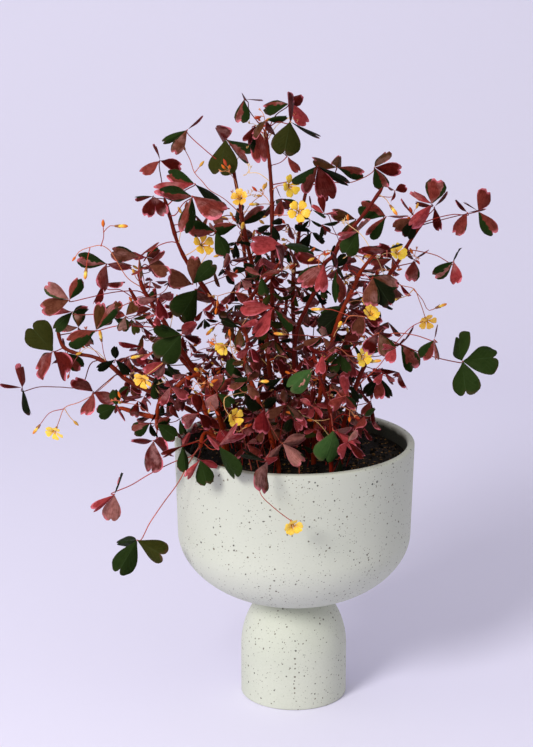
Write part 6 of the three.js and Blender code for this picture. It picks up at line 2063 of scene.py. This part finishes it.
class OXALIS_OT_stage(bpy.types.Operator):
    """Sets the seamless paper, the soft lights and the camera"""
    bl_idname = "oxalis.stage"
    bl_label = "Stage"

    def execute(self, context):
        settings = context.scene.oxalis_stage
        deselect()
        bpy.ops.mesh.primitive_plane_add(size=1, location=(0, 0, 0))
        paper = context.object
        bpy.ops.object.mode_set(mode="EDIT")
        bpy.ops.transform.resize(value=PAPER_SIZE)
        bpy.ops.transform.translate(value=PAPER_SHIFT)
        bpy.ops.object.mode_set(mode="OBJECT")
        select_where(paper.data, lambda corner: corner.y > PAPER_BACK)
        bpy.ops.object.mode_set(mode="EDIT")
        bpy.ops.mesh.extrude_region_move(TRANSFORM_OT_translate={"value": PAPER_RISE})
        bpy.ops.object.mode_set(mode="OBJECT")
        select_where(paper.data, lambda corner: corner.y > PAPER_BACK and corner.z < 0.01)
        bpy.ops.object.mode_set(mode="EDIT")
        bpy.ops.mesh.bevel(offset=PAPER_BEND, segments=24, affect="EDGES")
        bpy.ops.mesh.select_all(action="SELECT")
        bpy.ops.mesh.normals_make_consistent(inside=False)
        bpy.ops.object.mode_set(mode="OBJECT")
        paper.data.materials.append(stage_finish(settings))
        smooth(paper, 40)
        paper.name = "paper"

        def area(name, place, target, size, power, tint):
            lamp = bpy.data.lights.new(name, "AREA")
            lamp.shape = "DISK"
            lamp.size = size
            lamp.energy = power
            lamp.color = tint
            lamp_object = bpy.data.objects.new(name, lamp)
            lamp_object.location = place
            lamp_object.rotation_euler = (Vector(target) - Vector(place)).to_track_quat("-Z", "Y").to_euler()
            context.scene.collection.objects.link(lamp_object)

        area("key", (-1.35, -1.9, 1.5), (0, 0, 0.15), 0.9, settings.key_power, (1.0, 0.98, 0.95))
        area("side", (-2.2, 0.1, 0.7), (0, 0, 0.15), 1.4, settings.side_power, (1.0, 0.99, 0.97))
        world = bpy.data.worlds.new("studio")
        world.use_nodes = True
        surround = world.node_tree.nodes["Background"]
        surround.inputs["Color"].default_value = (1.0, 0.99, 0.97, 1.0)
        surround.inputs["Strength"].default_value = settings.fill_strength
        context.scene.world = world

        lens = bpy.data.cameras.new("onlooker")
        lens.sensor_fit = "VERTICAL"
        lens.sensor_height = FILM_HEIGHT
        lens.lens = LENS_LENGTH
        lens.clip_end = 50.0
        camera = bpy.data.objects.new("onlooker", lens)
        camera.location = EYE * MM
        camera.rotation_euler = (math.radians(90 - LOOKS_DOWN), 0, 0)
        context.scene.collection.objects.link(camera)
        context.scene.camera = camera
        context.scene.view_settings.view_transform = "Standard"
        return {"FINISHED"}


STEPS = (OXALIS_OT_planter, OXALIS_OT_soil, OXALIS_OT_stems, OXALIS_OT_leaves, OXALIS_OT_blooms,
         OXALIS_OT_stage)
SETTINGS = {"oxalis_planter": PlanterSettings, "oxalis_soil": SoilSettings, "oxalis_stems": StemSettings,
            "oxalis_leaves": LeafSettings, "oxalis_blooms": BloomSettings, "oxalis_stage": StageSettings}


class OXALIS_PT_pieces(bpy.types.Panel):
    """Lists the settings and steps of the potted oxalis"""
    bl_idname = "OXALIS_PT_pieces"
    bl_label = "Potted Oxalis"
    bl_space_type = "VIEW_3D"
    bl_region_type = "UI"
    bl_category = "Oxalis"

    def draw(self, context):
        for (pointer, group), step in zip(SETTINGS.items(), STEPS):
            box = self.layout.box()
            for setting in group.__annotations__:
                box.prop(getattr(context.scene, pointer), setting)
            box.operator(step.bl_idname)


def register():
    for kind in (*SETTINGS.values(), *STEPS, OXALIS_PT_pieces):
        bpy.utils.register_class(kind)
    for pointer, group in SETTINGS.items():
        setattr(bpy.types.Scene, pointer, PointerProperty(type=group))


def unregister():
    for pointer in SETTINGS:
        delattr(bpy.types.Scene, pointer)
    for kind in reversed((*SETTINGS.values(), *STEPS, OXALIS_PT_pieces)):
        bpy.utils.unregister_class(kind)


def main():
    register()
    bpy.ops.oxalis.planter()
    bpy.ops.oxalis.soil()
    bpy.ops.oxalis.stems()
    bpy.ops.oxalis.leaves()
    bpy.ops.oxalis.blooms()
    bpy.ops.oxalis.stage()


if __name__ == "__main__":
    main()
